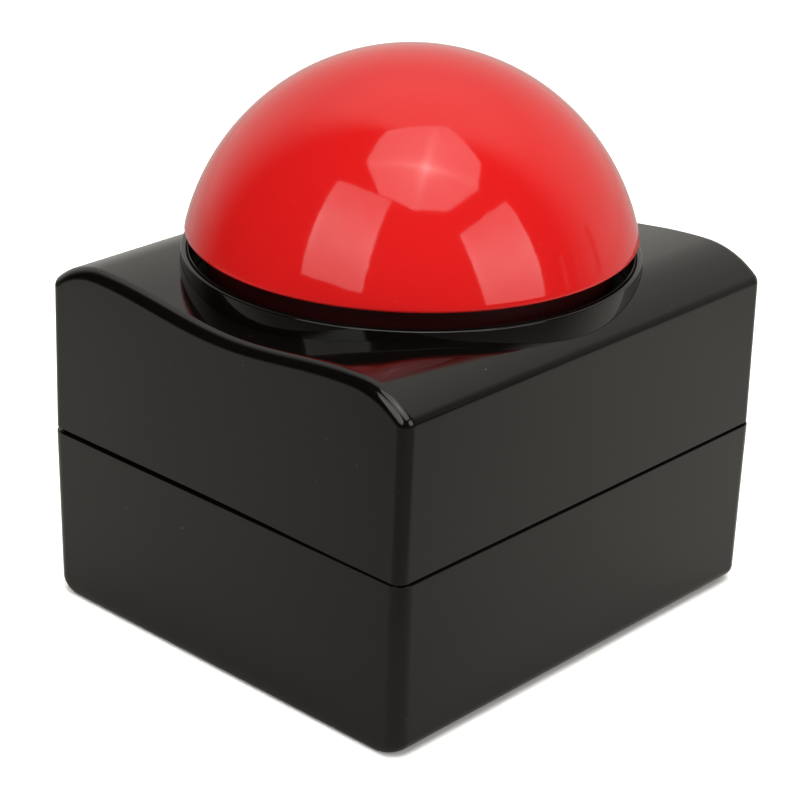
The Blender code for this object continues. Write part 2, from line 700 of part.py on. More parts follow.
def make_return_springs():
    low = DECK_TOP_Z + GAP + SPRING_WIRE
    high = CARRIER_PLATE_Z - GAP - SPRING_WIRE
    path = coil(SPRING_TURNS, SPRING_STEPS, low, high, SPRING_RADIUS, SPRING_RADIUS, "Z")
    for index, (x, y) in enumerate(four_sides(SPRING_OFFSET), 1):
        points = [(x + px, y + py, pz) for px, py, pz in path]
        tube(f"return_spring_{index}", points, SPRING_WIRE, STEEL)


# ---------------------------------------------------------------- mechanism deck

def make_deck():
    """The round deck under the button, with the stop rib that ends the button's travel."""
    outline = [
        (0.0, DECK_TOP_Z),
        (SKIRT_OUTER - SKIRT_WALL, DECK_TOP_Z),
        (SKIRT_OUTER - SKIRT_WALL, STOP_TOP_Z),
        (SKIRT_OUTER, STOP_TOP_Z),
        (SKIRT_OUTER, DECK_TOP_Z),
        (DECK_RADIUS, DECK_TOP_Z),
        (DECK_RADIUS, DECK_TOP_Z - DECK_THICK),
        (0.0, DECK_TOP_Z - DECK_THICK),
    ]
    deck = turned("mechanism_deck", outline, MATTE_BLACK)
    bm = bmesh.new()
    for x, y in four_corners(MECHANISM_X, MECHANISM_Y):
        add_cylinder(bm, PILLAR_RADIUS, DECK_TOP_Z - DECK_THICK, COLLAR_BOTTOM_Z - GAP, x, y)
    for x, y in four_sides(SPRING_OFFSET):
        add_cylinder(bm, SPRING_PIN_RADIUS, DECK_TOP_Z - OVERSHOOT, DECK_TOP_Z + SPRING_PIN_HEIGHT, x, y)
    boolean(deck, "UNION", tool("deck_pillars", bm))
    bm = bmesh.new()
    for x, y in four_corners(MECHANISM_X, MECHANISM_Y):
        add_cylinder(bm, PILOT_RADIUS, DECK_TOP_Z - 2 * DECK_THICK, COLLAR_BOTTOM_Z + OVERSHOOT, x, y)
    add_cylinder(bm, LEAD_HOLE_RADIUS, DECK_TOP_Z - 2 * DECK_THICK, DECK_TOP_Z + OVERSHOOT, 0.0, LEAD_HOLE_Y)
    boolean(deck, "DIFFERENCE", tool("deck_holes", bm))
    seat_z = DECK_TOP_Z - DECK_THICK - GAP
    for index, (x, y) in enumerate(four_corners(MECHANISM_X, MECHANISM_Y), 1):
        screw_piece(f"mechanism_screw_{index}", x, y, seat_z, COLLAR_BOTTOM_Z + 8 * MM)


def make_microswitch():
    low_z = DECK_TOP_Z + GAP
    high_z = low_z + 2 * SWITCH_HALF.z
    box_piece("microswitch_body", (-SWITCH_HALF.x, -SWITCH_HALF.y, low_z),
              (SWITCH_HALF.x, SWITCH_HALF.y, high_z), MATTE_BLACK, 0.4 * MM)
    bm = bmesh.new()
    add_box(bm, (0.0, -LEVER_WIDTH / 2, -LEVER_THICK / 2), (LEVER_LENGTH, LEVER_WIDTH / 2, LEVER_THICK / 2))
    bmesh.ops.rotate(bm, verts=bm.verts, cent=(0.0, 0.0, 0.0), matrix=Matrix.Rotation(-LEVER_ANGLE, 3, "Y"))
    lever = piece("microswitch_lever", bm, STEEL)
    lever.location = LEVER_PIVOT


def make_lights():
    low_z = DECK_TOP_Z + GAP
    high_z = low_z + LIGHT_BOARD_THICK
    outline = [
        (LIGHT_BOARD_INNER, high_z),
        (LIGHT_BOARD_OUTER, high_z),
        (LIGHT_BOARD_OUTER, low_z),
        (LIGHT_BOARD_INNER, low_z),
    ]
    board = turned("light_board", outline, BOARD_GREEN, closed=True, steps=28)
    bm = bmesh.new()
    add_cylinder(bm, LEAD_HOLE_RADIUS, low_z - OVERSHOOT, high_z + OVERSHOOT, 0.0, LEAD_HOLE_Y)
    boolean(board, "DIFFERENCE", tool("light_board_hole", bm))
    foot_z = high_z + GAP
    shoulder = LED_HEIGHT - LED_RADIUS
    outline = arc(0.0, shoulder, LED_RADIUS, 90.0, 0.0, 4)
    outline[0] = (0.0, LED_HEIGHT)
    outline += [(LED_RADIUS, 1.0 * MM), (LED_RADIUS + 0.4 * MM, 1.0 * MM), (LED_RADIUS + 0.4 * MM, 0.0), (0.0, 0.0)]
    for index, (x, y) in enumerate(four_corners(LED_OFFSET, LED_OFFSET), 1):
        led = turned(f"led_{index}", outline, LED_LENS, steps=10)
        led.location = (x, y, foot_z)


# ---------------------------------------------------------------- power

def make_cells():
    """Three AA cells side by side, turned end for end, with a plate at + and a coil at -."""
    for index in range(3):
        y = BAY_Y + (index - 1) * CELL_PITCH
        way = -1.0 if index == 1 else 1.0
        nub_end = BAY_HALF_X - GAP - CONTACT_THICK - GAP
        body_end = nub_end - CELL_NUB_LENGTH
        low = body_end - CELL_LENGTH
        outline = [
            (0.0, nub_end),
            (CELL_NUB_RADIUS, nub_end),
            (CELL_NUB_RADIUS, body_end),
            (CELL_RADIUS, body_end),
            (CELL_RADIUS, low),
            (0.0, low),
        ]
        cell = turned(f"cell_{index + 1}", outline, CELL_WRAP, steps=20)
        cell.location = (0.0, y, CELL_Z)
        cell.rotation_euler = (0.0, way * math.pi / 2, 0.0)
        plate = [way * (BAY_HALF_X - GAP - CONTACT_THICK), way * (BAY_HALF_X - GAP)]
        box_piece(f"contact_plate_{index + 1}", (min(plate), y - CONTACT_HALF, CELL_Z - CONTACT_HALF),
                  (max(plate), y + CONTACT_HALF, CELL_Z + CONTACT_HALF), STEEL)
        wire = 0.4 * MM
        wall_x = BAY_HALF_X - GAP - wire
        path = coil(3, SPRING_STEPS, wall_x, -low + GAP + wire, 5.0 * MM, 3.0 * MM, "X")
        points = [(-way * px, y + py, CELL_Z + pz) for px, py, pz in path]
        tube(f"contact_spring_{index + 1}", points, wire, STEEL)


def make_battery_door():
    bm = bmesh.new()
    add_box(bm, (-DOOR_HALF_X, BAY_Y - DOOR_HALF_Y, DOOR_LOW_Z), (DOOR_HALF_X, BAY_Y + DOOR_HALF_Y, DOOR_HIGH_Z))
    door = piece("battery_door", bm, GLOSS_BLACK)
    set_origin(door, (0.0, BAY_Y, DOOR_LOW_Z))
    steps = (
        ("UNION", DOOR_BOSS_RADIUS, DOOR_HIGH_Z - MM, DOOR_BOSS_TOP_Z),
        ("DIFFERENCE", SMALL_HEAD_RADIUS + GAP, DOOR_LOW_Z - OVERSHOOT, DOOR_SCREW_SEAT_Z),
        ("DIFFERENCE", SMALL_PILOT_RADIUS, DOOR_LOW_Z, DOOR_BOSS_TOP_Z + OVERSHOOT),
    )
    for number, (operation, radius, low_z, high_z) in enumerate(steps, 1):
        bm = bmesh.new()
        for side in (-1.0, 1.0):
            add_cylinder(bm, radius, low_z, high_z, side * DOOR_SCREW_X, BAY_Y)
        boolean(door, operation, tool(f"battery_door_step_{number}", bm))
    for number, side in enumerate((1.0, -1.0), 1):
        screw_piece(f"battery_door_screw_{number}", side * DOOR_SCREW_X, BAY_Y, DOOR_SCREW_SEAT_Z - GAP / 3,
                    DOOR_BOSS_TOP_Z + 5 * MM, small=True)


def make_power_switch():
    low = Vector((POWER_X, POWER_Y, BASE_FLOOR_Z + GAP)) - POWER_BODY_MARGIN
    high = Vector((POWER_X, POWER_Y + POWER_TRAVEL, low.z + POWER_BODY_HEIGHT)) + POWER_BODY_MARGIN
    box_piece("power_switch_body", low, high, STEEL, 0.3 * MM)
    knob = box_piece("power_switch_knob", (POWER_X - KNOB_HALF, POWER_Y - KNOB_HALF, FOOT_STANDOFF + GAP),
                     (POWER_X + KNOB_HALF, POWER_Y + KNOB_HALF, BASE_FLOOR_Z), MATTE_BLACK, 0.3 * MM)
    set_origin(knob, (POWER_X, POWER_Y, FOOT_STANDOFF + GAP))


# ---------------------------------------------------------------- sound

def make_speaker():
    rim_z = BASE_FLOOR_Z + GAP
    back_z = rim_z + SPEAKER_DEPTH
    frame = [
        (MAGNET_RADIUS, back_z),
        (SPEAKER_RADIUS - 2.5 * MM, rim_z + SPEAKER_SHEET),
        (SPEAKER_RADIUS, rim_z + SPEAKER_SHEET),
        (SPEAKER_RADIUS, rim_z),
        (SPEAKER_RADIUS - 3.0 * MM, rim_z),
        (MAGNET_RADIUS - 1.0 * MM, back_z - SPEAKER_SHEET),
        (VOICE_COIL_RADIUS, back_z - SPEAKER_SHEET),
        (VOICE_COIL_RADIUS, back_z),
    ]
    turned("speaker_frame", frame, STEEL, closed=True, steps=28).location = (0.0, SPEAKER_Y, 0.0)
    magnet_low = back_z + GAP
    magnet_high = magnet_low + MAGNET_HEIGHT
    magnet = [
        (0.0, magnet_high),
        (MAGNET_RADIUS - MAGNET_BEVEL, magnet_high),
        (MAGNET_RADIUS, magnet_high - MAGNET_BEVEL),
        (MAGNET_RADIUS, magnet_low),
        (0.0, magnet_low),
    ]
    turned("speaker_magnet", magnet, STEEL, steps=24).location = (0.0, SPEAKER_Y, 0.0)
    thick = 0.5 * MM
    cone = [
        (0.0, rim_z + 6.0 * MM + thick),
        (5.0 * MM, rim_z + 7.0 * MM + thick),
        (19.5 * MM, rim_z + 1.2 * MM),
        (20.8 * MM, rim_z + 0.6 * MM),
        (20.8 * MM, rim_z + 0.1 * MM),
        (19.2 * MM, rim_z + 0.6 * MM),
        (5.0 * MM, rim_z + 7.0 * MM - thick),
        (0.0, rim_z + 6.0 * MM - thick),
    ]
    turned("speaker_cone", cone, PAPER, steps=24).location = (0.0, SPEAKER_Y, 0.0)
    for index, side in enumerate((1.0, -1.0), 1):
        seat_z = BASE_FLOOR_Z + 5 * MM + GAP
        screw_piece(f"speaker_screw_{index}", side * SPEAKER_SCREW_X, SPEAKER_Y, seat_z,
                    BASE_FLOOR_Z + 0.9 * MM, small=True, head_up=True)


def make_sound_board():
    bm = bmesh.new()
    top_z = BOARD_Z + BOARD_THICK
    add_box(bm, (-BOARD_HALF_X, BAY_Y - BOARD_HALF_Y, BOARD_Z), (BOARD_HALF_X, BAY_Y + BOARD_HALF_Y, top_z))
    board = piece("sound_board", bm, BOARD_GREEN)
    bm = bmesh.new()
    for side in (-1.0, 1.0):
        add_cylinder(bm, SMALL_PILOT_RADIUS, BOARD_Z - OVERSHOOT, BOARD_Z + BOARD_THICK + OVERSHOOT,
                     side * BOARD_SCREW_X, BAY_Y)
    boolean(board, "DIFFERENCE", tool("sound_board_holes", bm))
    for index, side in enumerate((1.0, -1.0), 1):
        screw_piece(f"board_screw_{index}", side * BOARD_SCREW_X, BAY_Y, top_z + GAP,
                    BAY_CEILING_Z + 1.5 * MM, small=True, head_up=True)
    chip = [(6.0 * MM * math.sin(math.radians(a)), 2.2 * MM * math.cos(math.radians(a))) for a in range(0, 91, 18)]
    chip.append((0.0, 0.0))
    turned("sound_chip", chip, EPOXY, steps=24).location = (-6.0 * MM, BAY_Y, top_z + GAP)
    capacitor = [(0.0, 9 * MM), (2.6 * MM, 9 * MM), (3.0 * MM, 8.5 * MM), (3.0 * MM, 0.0), (0.0, 0.0)]
    turned("board_capacitor", capacitor, EPOXY, steps=24).location = (12.0 * MM, BAY_Y - 9 * MM, top_z + GAP)


def smooth_path(knots, steps):
    """Points on a smooth curve through the knots, steps of them between each pair."""
    knots = [Vector(knot) * MM for knot in knots]
    padded = [knots[0] * 2 - knots[1]] + knots + [knots[-1] * 2 - knots[-2]]
    points = []
    for a, b, c, d in zip(padded, padded[1:], padded[2:], padded[3:]):
        for index in range(steps):
            t = index / steps
            points.append(0.5 * (2 * b + (c - a) * t + (2 * a - 5 * b + 4 * c - d) * t * t
                                 + (3 * b - a - 3 * c + d) * t ** 3))
    points.append(knots[-1])
    return points


def make_leads():
    """Hand-laid routes of the internal leads, in millimetres."""
    routes = {
        "battery_lead_red": (WIRE_RED, [(38.5, -20, 12), (40, -19, 20), (37, -20, 25), (32, -20, 26)]),
        "battery_lead_black": (WIRE_BLACK, [(38.5, -38, 12), (40, -38, 20), (37, -38, 25), (32, -38, 26)]),
        "power_lead": (WIRE_RED, [(41, 12, 9.8), (40, 8, 17), (35, -2, 24), (25, -9, 26.5), (22, -12, 25.8)]),
        "speaker_lead": (WIRE_BLACK, [(15, 24, 16), (16, 14, 21), (10, 2, 26), (6, -8, 27), (5, -12, 25.8)]),
        "switch_lead": (WIRE_RED, [(1.2, -4.6, 58), (1.2, -11, 60), (1.2, -17, 56), (1.2, -17.3, 46),
                                   (-4, -19, 34), (-8, -20, 25.8)]),
        "light_lead": (WIRE_BLACK, [(-8.2, -14.6, 54.9), (-5.4, -16.4, 57), (-1.4, -17.2, 55.4),
                                    (-1.2, -17.2, 46), (-12, -22, 34), (-18, -23, 25.8)]),
    }
    for name, (material, knots) in routes.items():
        tube(name, smooth_path(knots, 3), LEAD_RADIUS, material)


make_base_shell()
make_top_shell()
make_fasteners_and_feet()
make_collar_ring()
make_dome()
make_carrier()
make_return_springs()
make_deck()
make_microswitch()
make_lights()
make_cells()
make_battery_door()
make_power_switch()
make_speaker()
make_sound_board()
make_leads()
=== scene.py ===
"""Looks of the quiz buzzer: fine meshes for what shows, procedural materials for every piece, and a
pale studio with three soft lamps. Lengths are in metres, in the frame's own axes: X runs across the
saddle, Y along it, Z up."""

import json
import math

import bmesh
import bpy
from mathutils import Matrix, Vector


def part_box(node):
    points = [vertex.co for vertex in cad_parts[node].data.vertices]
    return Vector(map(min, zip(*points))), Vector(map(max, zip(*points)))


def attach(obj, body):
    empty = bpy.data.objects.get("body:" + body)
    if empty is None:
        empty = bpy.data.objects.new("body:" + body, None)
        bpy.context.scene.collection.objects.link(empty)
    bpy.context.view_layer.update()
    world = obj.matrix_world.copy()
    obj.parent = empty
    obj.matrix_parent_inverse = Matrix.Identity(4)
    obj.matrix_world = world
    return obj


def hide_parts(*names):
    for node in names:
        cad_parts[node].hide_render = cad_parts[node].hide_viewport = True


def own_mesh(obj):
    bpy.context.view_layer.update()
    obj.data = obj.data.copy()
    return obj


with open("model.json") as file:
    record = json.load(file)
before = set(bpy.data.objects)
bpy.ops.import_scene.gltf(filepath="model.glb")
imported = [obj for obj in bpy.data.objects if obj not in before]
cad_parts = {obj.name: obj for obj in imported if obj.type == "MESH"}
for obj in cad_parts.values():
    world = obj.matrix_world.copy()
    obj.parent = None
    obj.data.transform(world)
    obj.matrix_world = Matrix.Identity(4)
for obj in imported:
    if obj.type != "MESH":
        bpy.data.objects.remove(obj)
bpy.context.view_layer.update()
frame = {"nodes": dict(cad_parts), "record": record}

MM = 0.001
NODES = frame["nodes"]

# Places and sizes that the frame gives
TOP_LOW, TOP_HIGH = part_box("top_shell")
BASE_LOW, BASE_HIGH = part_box("base_shell")
DOME_LOW, DOME_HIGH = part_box("dome")
RING_LOW, RING_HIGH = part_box("collar_ring")
CARRIER_LOW, CARRIER_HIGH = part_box("button_carrier")
DOOR_LOW, DOOR_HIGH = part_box("battery_door")
FOOT_LOW, FOOT_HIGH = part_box("rubber_foot_1")
KNOB_LOW, KNOB_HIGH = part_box("power_switch_knob")
SPEAKER_LOW, SPEAKER_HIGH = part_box("speaker_frame")


def middle(low, high):
    return (Vector(low) + Vector(high)) / 2


GAP = 0.3 * MM
OVERSHOOT = 1.0 * MM
MERGE = 0.01 * MM

# Housing: the base is the wider half, and the top shell sits just inside its outline
HALF_X = BASE_HIGH.x
HALF_Y = BASE_HIGH.y
TOP_HALF_X = TOP_HIGH.x
TOP_HALF_Y = TOP_HIGH.y
PARTING_Z = 41.0 * MM
CREST_Z = TOP_HIGH.z
VALLEY_Z = CREST_Z - 3.1 * MM
CREST_X = 38.85 * MM
ROLL_RADIUS = 21.6 * MM
ROLL_END = math.radians(40.2)
TOP_EDGE_RADIUS = 2.7 * MM
WALL = 2.0 * MM
TOP_END_DRAFT = 0.0128
BASE_DRAFT = 0.0097
CORNER_RADIUS = 3.6 * MM
BOTTOM_FILLET = Vector((4.5, 0.7, 3.3)) * MM
SEAM_ROUND = 0.2 * MM
SEAM_LIFT = 0.75 * MM
BASE_LOW_Z = BASE_LOW.z
BASE_TOP_Z = PARTING_Z - GAP / 2
FLOOR_Z = BASE_LOW_Z + 2.4 * MM
POST_RADIUS = 4.2 * MM
SCREW_WELL_RADIUS = 3.3 * MM
SCREW_WELL_TOP_Z = 30.0 * MM
PILOT_RADIUS = 1.6 * MM
SMALL_PILOT_RADIUS = 1.2 * MM
TOP_SCREW_DEPTH = 14.0 * MM
PILLAR_RADIUS = 3.6 * MM
PILLAR_SCREW_DEPTH = 6.8 * MM
COLLAR_CLEARANCE = 0.08 * MM
SMOOTH_ANGLE = math.radians(35.0)

# Underside
BAY_Y = middle(DOOR_LOW, DOOR_HIGH).y
BAY_HALF = Vector((29.5, 22.6)) * MM
BAY_CEILING_Z = 17.8 * MM
SPEAKER_Y = middle(SPEAKER_LOW, SPEAKER_HIGH).y
GRILLE_PITCH = 8.0 * MM
GRILLE_HOLE_RADIUS = 1.7 * MM
POWER_TRAVEL = 4.0 * MM
DOOR_FACE_Z = DOOR_LOW.z
DOOR_BACK_Z = DOOR_FACE_Z + 1.7 * MM
DOOR_BOSS_RADIUS = 3.6 * MM
DOOR_SEAT_Z = 2.6 * MM
DOOR_HEAD_RADIUS = 2.5 * MM
DOOR_GRIPS = 7
DOOR_GRIP_PITCH = 1.5 * MM
DOOR_GRIP_HALF = Vector((9.0, 0.35)) * MM
DOOR_GRIP_DEPTH = 0.5 * MM
BAY_WALL = Vector((8.0, 1.5)) * MM
SPEAKER_BOSS_RADIUS = 2.6 * MM
BOARD_POST_RADIUS = 2.5 * MM
KNOB_ROUND = 0.25 * MM
KNOB_GRIP_PITCH = 0.9 * MM
KNOB_GRIP_HALF = 0.18 * MM

# Button and collar
DOME_TOP_Z = DOME_HIGH.z
DOME_RIM_Z = DOME_TOP_Z - 40.85 * MM
DOME_CENTRE_Z = 76.6 * MM
DOME_RADIUS = 51.8 * MM
DOME_WALL = 2.2 * MM
DOME_RIM_ROUND = 0.8 * MM
SKIRT_OUTER = 45.0 * MM
SKIRT_WALL = 2.0 * MM
DOME_SKIRT_WALL = 1.8 * MM
GUIDE_LOW_Z = 73.0 * MM
GUIDE_HIGH_Z = 75.0 * MM
PLATE_Z = 70.5 * MM
PLATE_THICK = 2.0 * MM
WINDOW_REACH = 19.0 * MM
WINDOW_RADIUS = 11.0 * MM
HOOK_HALF_WIDTH = 6.0 * MM
HOOK_THICK = 3.2 * MM
SPRING_PIN_REACH = 34.0 * MM
SPRING_PIN_RADIUS = 3.0 * MM
SPRING_PIN_LENGTH = 4.0 * MM
ACTUATOR_X = 9.0 * MM
ACTUATOR_RADIUS = 2.0 * MM
ACTUATOR_LOW_Z = 69.4 * MM
SPRING_WIRE = 0.5 * MM
SPRING_TURNS = 5
SPRING_SQUEEZE = 0.6
LUG_REACH = CARRIER_HIGH.x
COLLAR_OUTER = 51.2 * MM
COLLAR_BORE = 49.4 * MM
COLLAR_TOP_Z = RING_HIGH.z
LIP_CROWN = 0.5
EAR_TOP_Z = RING_LOW.z + 2.5 * MM
EAR_RADIUS = 5.5 * MM


def places(stem, count):
    """The (x, y) of the middle of each node called the stem and a number."""
    return [tuple(middle(*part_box(f"{stem}_{number}")).xy) for number in range(1, count + 1)]


POSTS = places("housing_screw", 4)
PILLARS = places("mechanism_screw", 4)
SPEAKER_SCREWS = places("speaker_screw", 2)
BOARD_SCREWS = places("board_screw", 2)
DOOR_SCREWS = places("battery_door_screw", 2)
FEET = places("rubber_foot", 4)
FOOT_RADIUS = (FOOT_HIGH.x - FOOT_LOW.x) / 2
BOARD_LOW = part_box("sound_board")[0]

# Camera, as its place, the point it looks at, its tilt and its lens
CAMERA_PLACE = Vector((353.8, -389.6, 278.9)) * MM
CAMERA_FORWARD = Vector((-0.6172, 0.6756, -0.4032))
CAMERA_ROLL = math.radians(1.677)
LENS = 113.45
SENSOR = 36.0

# Studio
LAMP_DISTANCE = 3.0
LAMP_HEART = Vector((0.0, 0.0, 95.0)) * MM
LAMP_TINT = (1.0, 0.985, 0.955, 1.0)
FLOOR_RADIUS = 6.0
FLOOR_REFLECTED = (0.455, 0.44, 0.415)
FLOOR_SEEN = (1.35, 1.35, 1.35)
PAPER_SEEN = (1.1, 1.1, 1.1)
TOWARD_CAMERA = Vector((0.7, -0.7, 0.0))
TOWARD_RIGHT = Vector((0.7, 0.7, 0.0))
SKY_HEART = Vector((-0.5, 0.866, 0.0))
SKY_TURN = (0.05, 0.65)
SKY_FRONT = 0.0
SKY_BACK = 0.70
SKY_HIGH = 1.45
SKY_RIGHT = 0.03
SKY_LOW = 0.60
SKY_TINT = (1.0, 0.965, 0.90, 1.0)


# ---------------------------------------------------------------- mesh helpers

def shade(mesh):
    """Smooth shading, but for edges sharper than the angle."""
    mesh.shade_smooth()
    mesh.set_sharp_from_angle(angle=SMOOTH_ANGLE)


def mesh_object(name, bm):
    bmesh.ops.recalc_face_normals(bm, faces=bm.faces)
    mesh = bpy.data.meshes.new(name)
    bm.to_mesh(mesh)
    bm.free()
    shade(mesh)
    obj = bpy.data.objects.new(name, mesh)
    bpy.context.scene.collection.objects.link(obj)
    return obj


def add_cylinder(bm, radius, low, high, x=0.0, y=0.0, segments=48):
    matrix = Matrix.Translation((x, y, (low + high) / 2))
    bmesh.ops.create_cone(
        bm, cap_ends=True, segments=segments, radius1=radius, radius2=radius,
        depth=high - low, matrix=matrix)


def add_cylinders(bm, points, radius, low, high, segments=48):
    for x, y in points:
        add_cylinder(bm, radius, low, high, x, y, segments)


def add_box(bm, low, high):
    low = Vector(low)
    high = Vector(high)
    matrix = Matrix.Translation((low + high) / 2) @ Matrix.Diagonal((*(high - low), 1.0))
    return bmesh.ops.create_cube(bm, size=1.0, matrix=matrix)["verts"]


def four_corners(reach):
    return [(reach, -reach), (reach, reach), (-reach, reach), (-reach, -reach)]


def extruded(outline, start_y, depth):
    """A solid with the outline's (x, z) points, from start_y along Y."""
    bm = bmesh.new()
    face = bm.faces.new([bm.verts.new((x, start_y, z)) for x, z in outline])
    pulled = bmesh.ops.extrude_face_region(bm, geom=[face])
    moved = [item for item in pulled["geom"] if isinstance(item, bmesh.types.BMVert)]
    bmesh.ops.translate(bm, verts=moved, vec=(0.0, depth, 0.0))
    return bm


def take_mesh(obj):
    """The object's shape as a bmesh; the object itself goes."""
    bm = bmesh.new()
    bm.from_mesh(obj.data)
    bpy.data.objects.remove(obj)
    return bm


def boolean(target, operation, bm, name):
    """Cuts or joins the shape in bm, and applies it, so that no cutter stays in the scene."""
    other = mesh_object(name, bm)
    modifier = target.modifiers.new(name, "BOOLEAN")
    modifier.operation = operation
    modifier.solver = "EXACT"
    modifier.object = other
    apply_modifiers(target)
    bpy.data.objects.remove(other)


def apply_modifiers(obj):
    graph = bpy.context.evaluated_depsgraph_get()
    mesh = bpy.data.meshes.new_from_object(obj.evaluated_get(graph))
    old = obj.data
    obj.modifiers.clear()
    obj.data = mesh
    bpy.data.meshes.remove(old)


def finish_edges(obj):
    """Keeps broad flat faces flat in shading next to the fine roundings."""
    shade(obj.data)
    weighted = obj.modifiers.new("even_shading", "WEIGHTED_NORMAL")
    weighted.mode = "FACE_AREA"
    weighted.weight = 100
    weighted.keep_sharp = True


def turned(name, outline, steps=192, closed=False):
    """A solid of revolution about Z from (radius, z) points."""
    bm = bmesh.new()
    verts = [bm.verts.new((radius, 0.0, z)) for radius, z in outline]
    pairs = list(zip(verts, verts[1:]))
    if closed:
        pairs.append((verts[-1], verts[0]))
    edges = [bm.edges.new(pair) for pair in pairs]
    bmesh.ops.spin(
        bm, geom=verts + edges, cent=(0.0, 0.0, 0.0), axis=(0.0, 0.0, 1.0),
        angle=2 * math.pi, steps=steps, use_merge=True)
    bmesh.ops.remove_doubles(bm, verts=bm.verts, dist=MERGE)
    return mesh_object(name, bm)


def arc(centre_r, centre_z, radius, start, end, count):
    """Points on an arc in the (radius, z) plane, angles in degrees from +R towards +Z."""
    points = []
    for index in range(count + 1):
        angle = math.radians(start + (end - start) * index / count)
        points.append((centre_r + radius * math.cos(angle), centre_z + radius * math.sin(angle)))
    return points


def dress(obj, material, slot, body, *replaced):
    """Gives a new piece its material and the body it rides on. The slot argument is not used."""
    obj.data.materials.clear()
    obj.data.materials.append(material)
    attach(obj, body)
    if replaced:
        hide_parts(*replaced)


# ---------------------------------------------------------------- materials

class Nodes:
    """A short way to wire up a material's nodes."""

    def __init__(self, name):
        self.material = bpy.data.materials.new(name)
        self.material.use_nodes = True
        self.tree = self.material.node_tree
        self.shader = self.tree.nodes["Principled BSDF"]
        coordinates = self.tree.nodes.new("ShaderNodeTexCoord")
        self.place = coordinates.outputs["Object"]

    def add(self, kind, inputs=(), **settings):
        node = self.tree.nodes.new(kind)
        for key, value in settings.items():
            setattr(node, key, value)
        for key, value in dict(inputs).items():
            if isinstance(value, bpy.types.NodeSocket):
                self.tree.links.new(value, node.inputs[key])
            else:
                node.inputs[key].default_value = value
        return node

    def noise(self, scale, detail=2.0, roughness=0.5, distortion=0.0):
        return self.add("ShaderNodeTexNoise", {
            "Vector": self.place, "Scale": scale, "Detail": detail,
            "Roughness": roughness, "Distortion": distortion}).outputs["Fac"]

    def ramp(self, value, low, high, from_low=0.0, from_high=1.0):
        return self.add("ShaderNodeMapRange", {
            "Value": value, "From Min": from_low, "From Max": from_high,
            "To Min": low, "To Max": high}).outputs["Result"]

    def maths(self, operation, first, second=0.0):
        return self.add("ShaderNodeMath", {0: first, 1: second}, operation=operation).outputs[0]

    def mix(self, factor, first, second):
        node = self.tree.nodes.new("ShaderNodeMix")
        node.data_type = "RGBA"
        for key, value in ((0, factor), (6, first), (7, second)):
            if isinstance(value, bpy.types.NodeSocket):
                self.tree.links.new(value, node.inputs[key])
            elif key == 0:
                node.inputs[key].default_value = value
            else:
                node.inputs[key].default_value = (*value, 1.0)
        return node.outputs[2]

    def specks(self, scale, size, share):
        """Sparse round dots: 1 in the middle of a dot, 0 elsewhere. share is how many cells hold one."""
        cells = self.add("ShaderNodeTexVoronoi", {"Vector": self.place, "Scale": scale, "Randomness": 1.0})
        dot = self.ramp(cells.outputs["Distance"], 1.0, 0.0, size * 0.5, size)
        grey = self.add("ShaderNodeSeparateColor", {"Color": cells.outputs["Color"]}).outputs["Red"]
        chosen = self.maths("LESS_THAN", grey, share)
        return self.maths("MULTIPLY", dot, chosen)

    def height(self):
        return self.add("ShaderNodeSeparateXYZ", {0: self.place}).outputs["Z"]

    def axis_distance(self):
        """How far a point is from the Z axis."""
        flat = self.add("ShaderNodeVectorMath", {0: self.place, 1: (1.0, 1.0, 0.0)}, operation="MULTIPLY")
        return self.add("ShaderNodeVectorMath", {0: flat.outputs[0]}, operation="LENGTH").outputs["Value"]

    def bump(self, height, strength, distance, previous=None):
        inputs = {"Height": height, "Strength": strength, "Distance": distance}
        if previous is not None:
            inputs["Normal"] = previous
        return self.add("ShaderNodeBump", inputs).outputs["Normal"]

    def set(self, **inputs):
        names = {"colour": "Base Color", "roughness": "Roughness", "normal": "Normal", "metallic": "Metallic"}
        for key, value in inputs.items():
            socket = self.shader.inputs[names[key]]
            if isinstance(value, bpy.types.NodeSocket):
                self.tree.links.new(value, socket)
            else:
                socket.default_value = (*value, 1.0) if key == "colour" else value


def gloss_plastic(name, colour, darker, roughness, peel, dust, ior=1.5, ripple_depth=0.004 * MM):
    """Polished moulded plastic: faint orange peel, slow colour drift, rubbed patches and dust specks."""
    nodes = Nodes(name)
    drift = nodes.noise(18.0, 3.0)
    base = nodes.mix(nodes.ramp(drift, 0.0, 1.0, 0.35, 0.65), colour, darker)
    specks = nodes.specks(380.0, 0.11, dust)
    fine_specks = nodes.specks(1150.0, 0.17, dust * 0.35)
    dirt = nodes.maths("MAXIMUM", specks, fine_specks)
    nodes.set(colour=nodes.mix(nodes.maths("MULTIPLY", dirt, 0.16), base, (0.45, 0.42, 0.38)))
    rubbed = nodes.noise(55.0, 6.0, 0.62)
    worn = nodes.ramp(rubbed, roughness * 0.8, roughness * 1.35, 0.3, 0.7)
    nodes.set(roughness=nodes.maths("ADD", worn, nodes.maths("MULTIPLY", dirt, 0.3)))
    slow = nodes.bump(nodes.noise(26.0, 1.0), peel, 1.6 * MM)
    ripple = nodes.bump(nodes.noise(330.0, 1.0), 1.0, ripple_depth, slow)
    nodes.set(normal=nodes.bump(dirt, 0.4, 0.03 * MM, ripple))
    nodes.shader.inputs["IOR"].default_value = ior
    return nodes


# Painted shade: a dark red-tinted colour that stands for the deep shade in the gap between dome and collar
GAP_SHADE_COLOUR = (0.034, 0.0024, 0.0026)
GAP_ROUGHNESS = 0.35


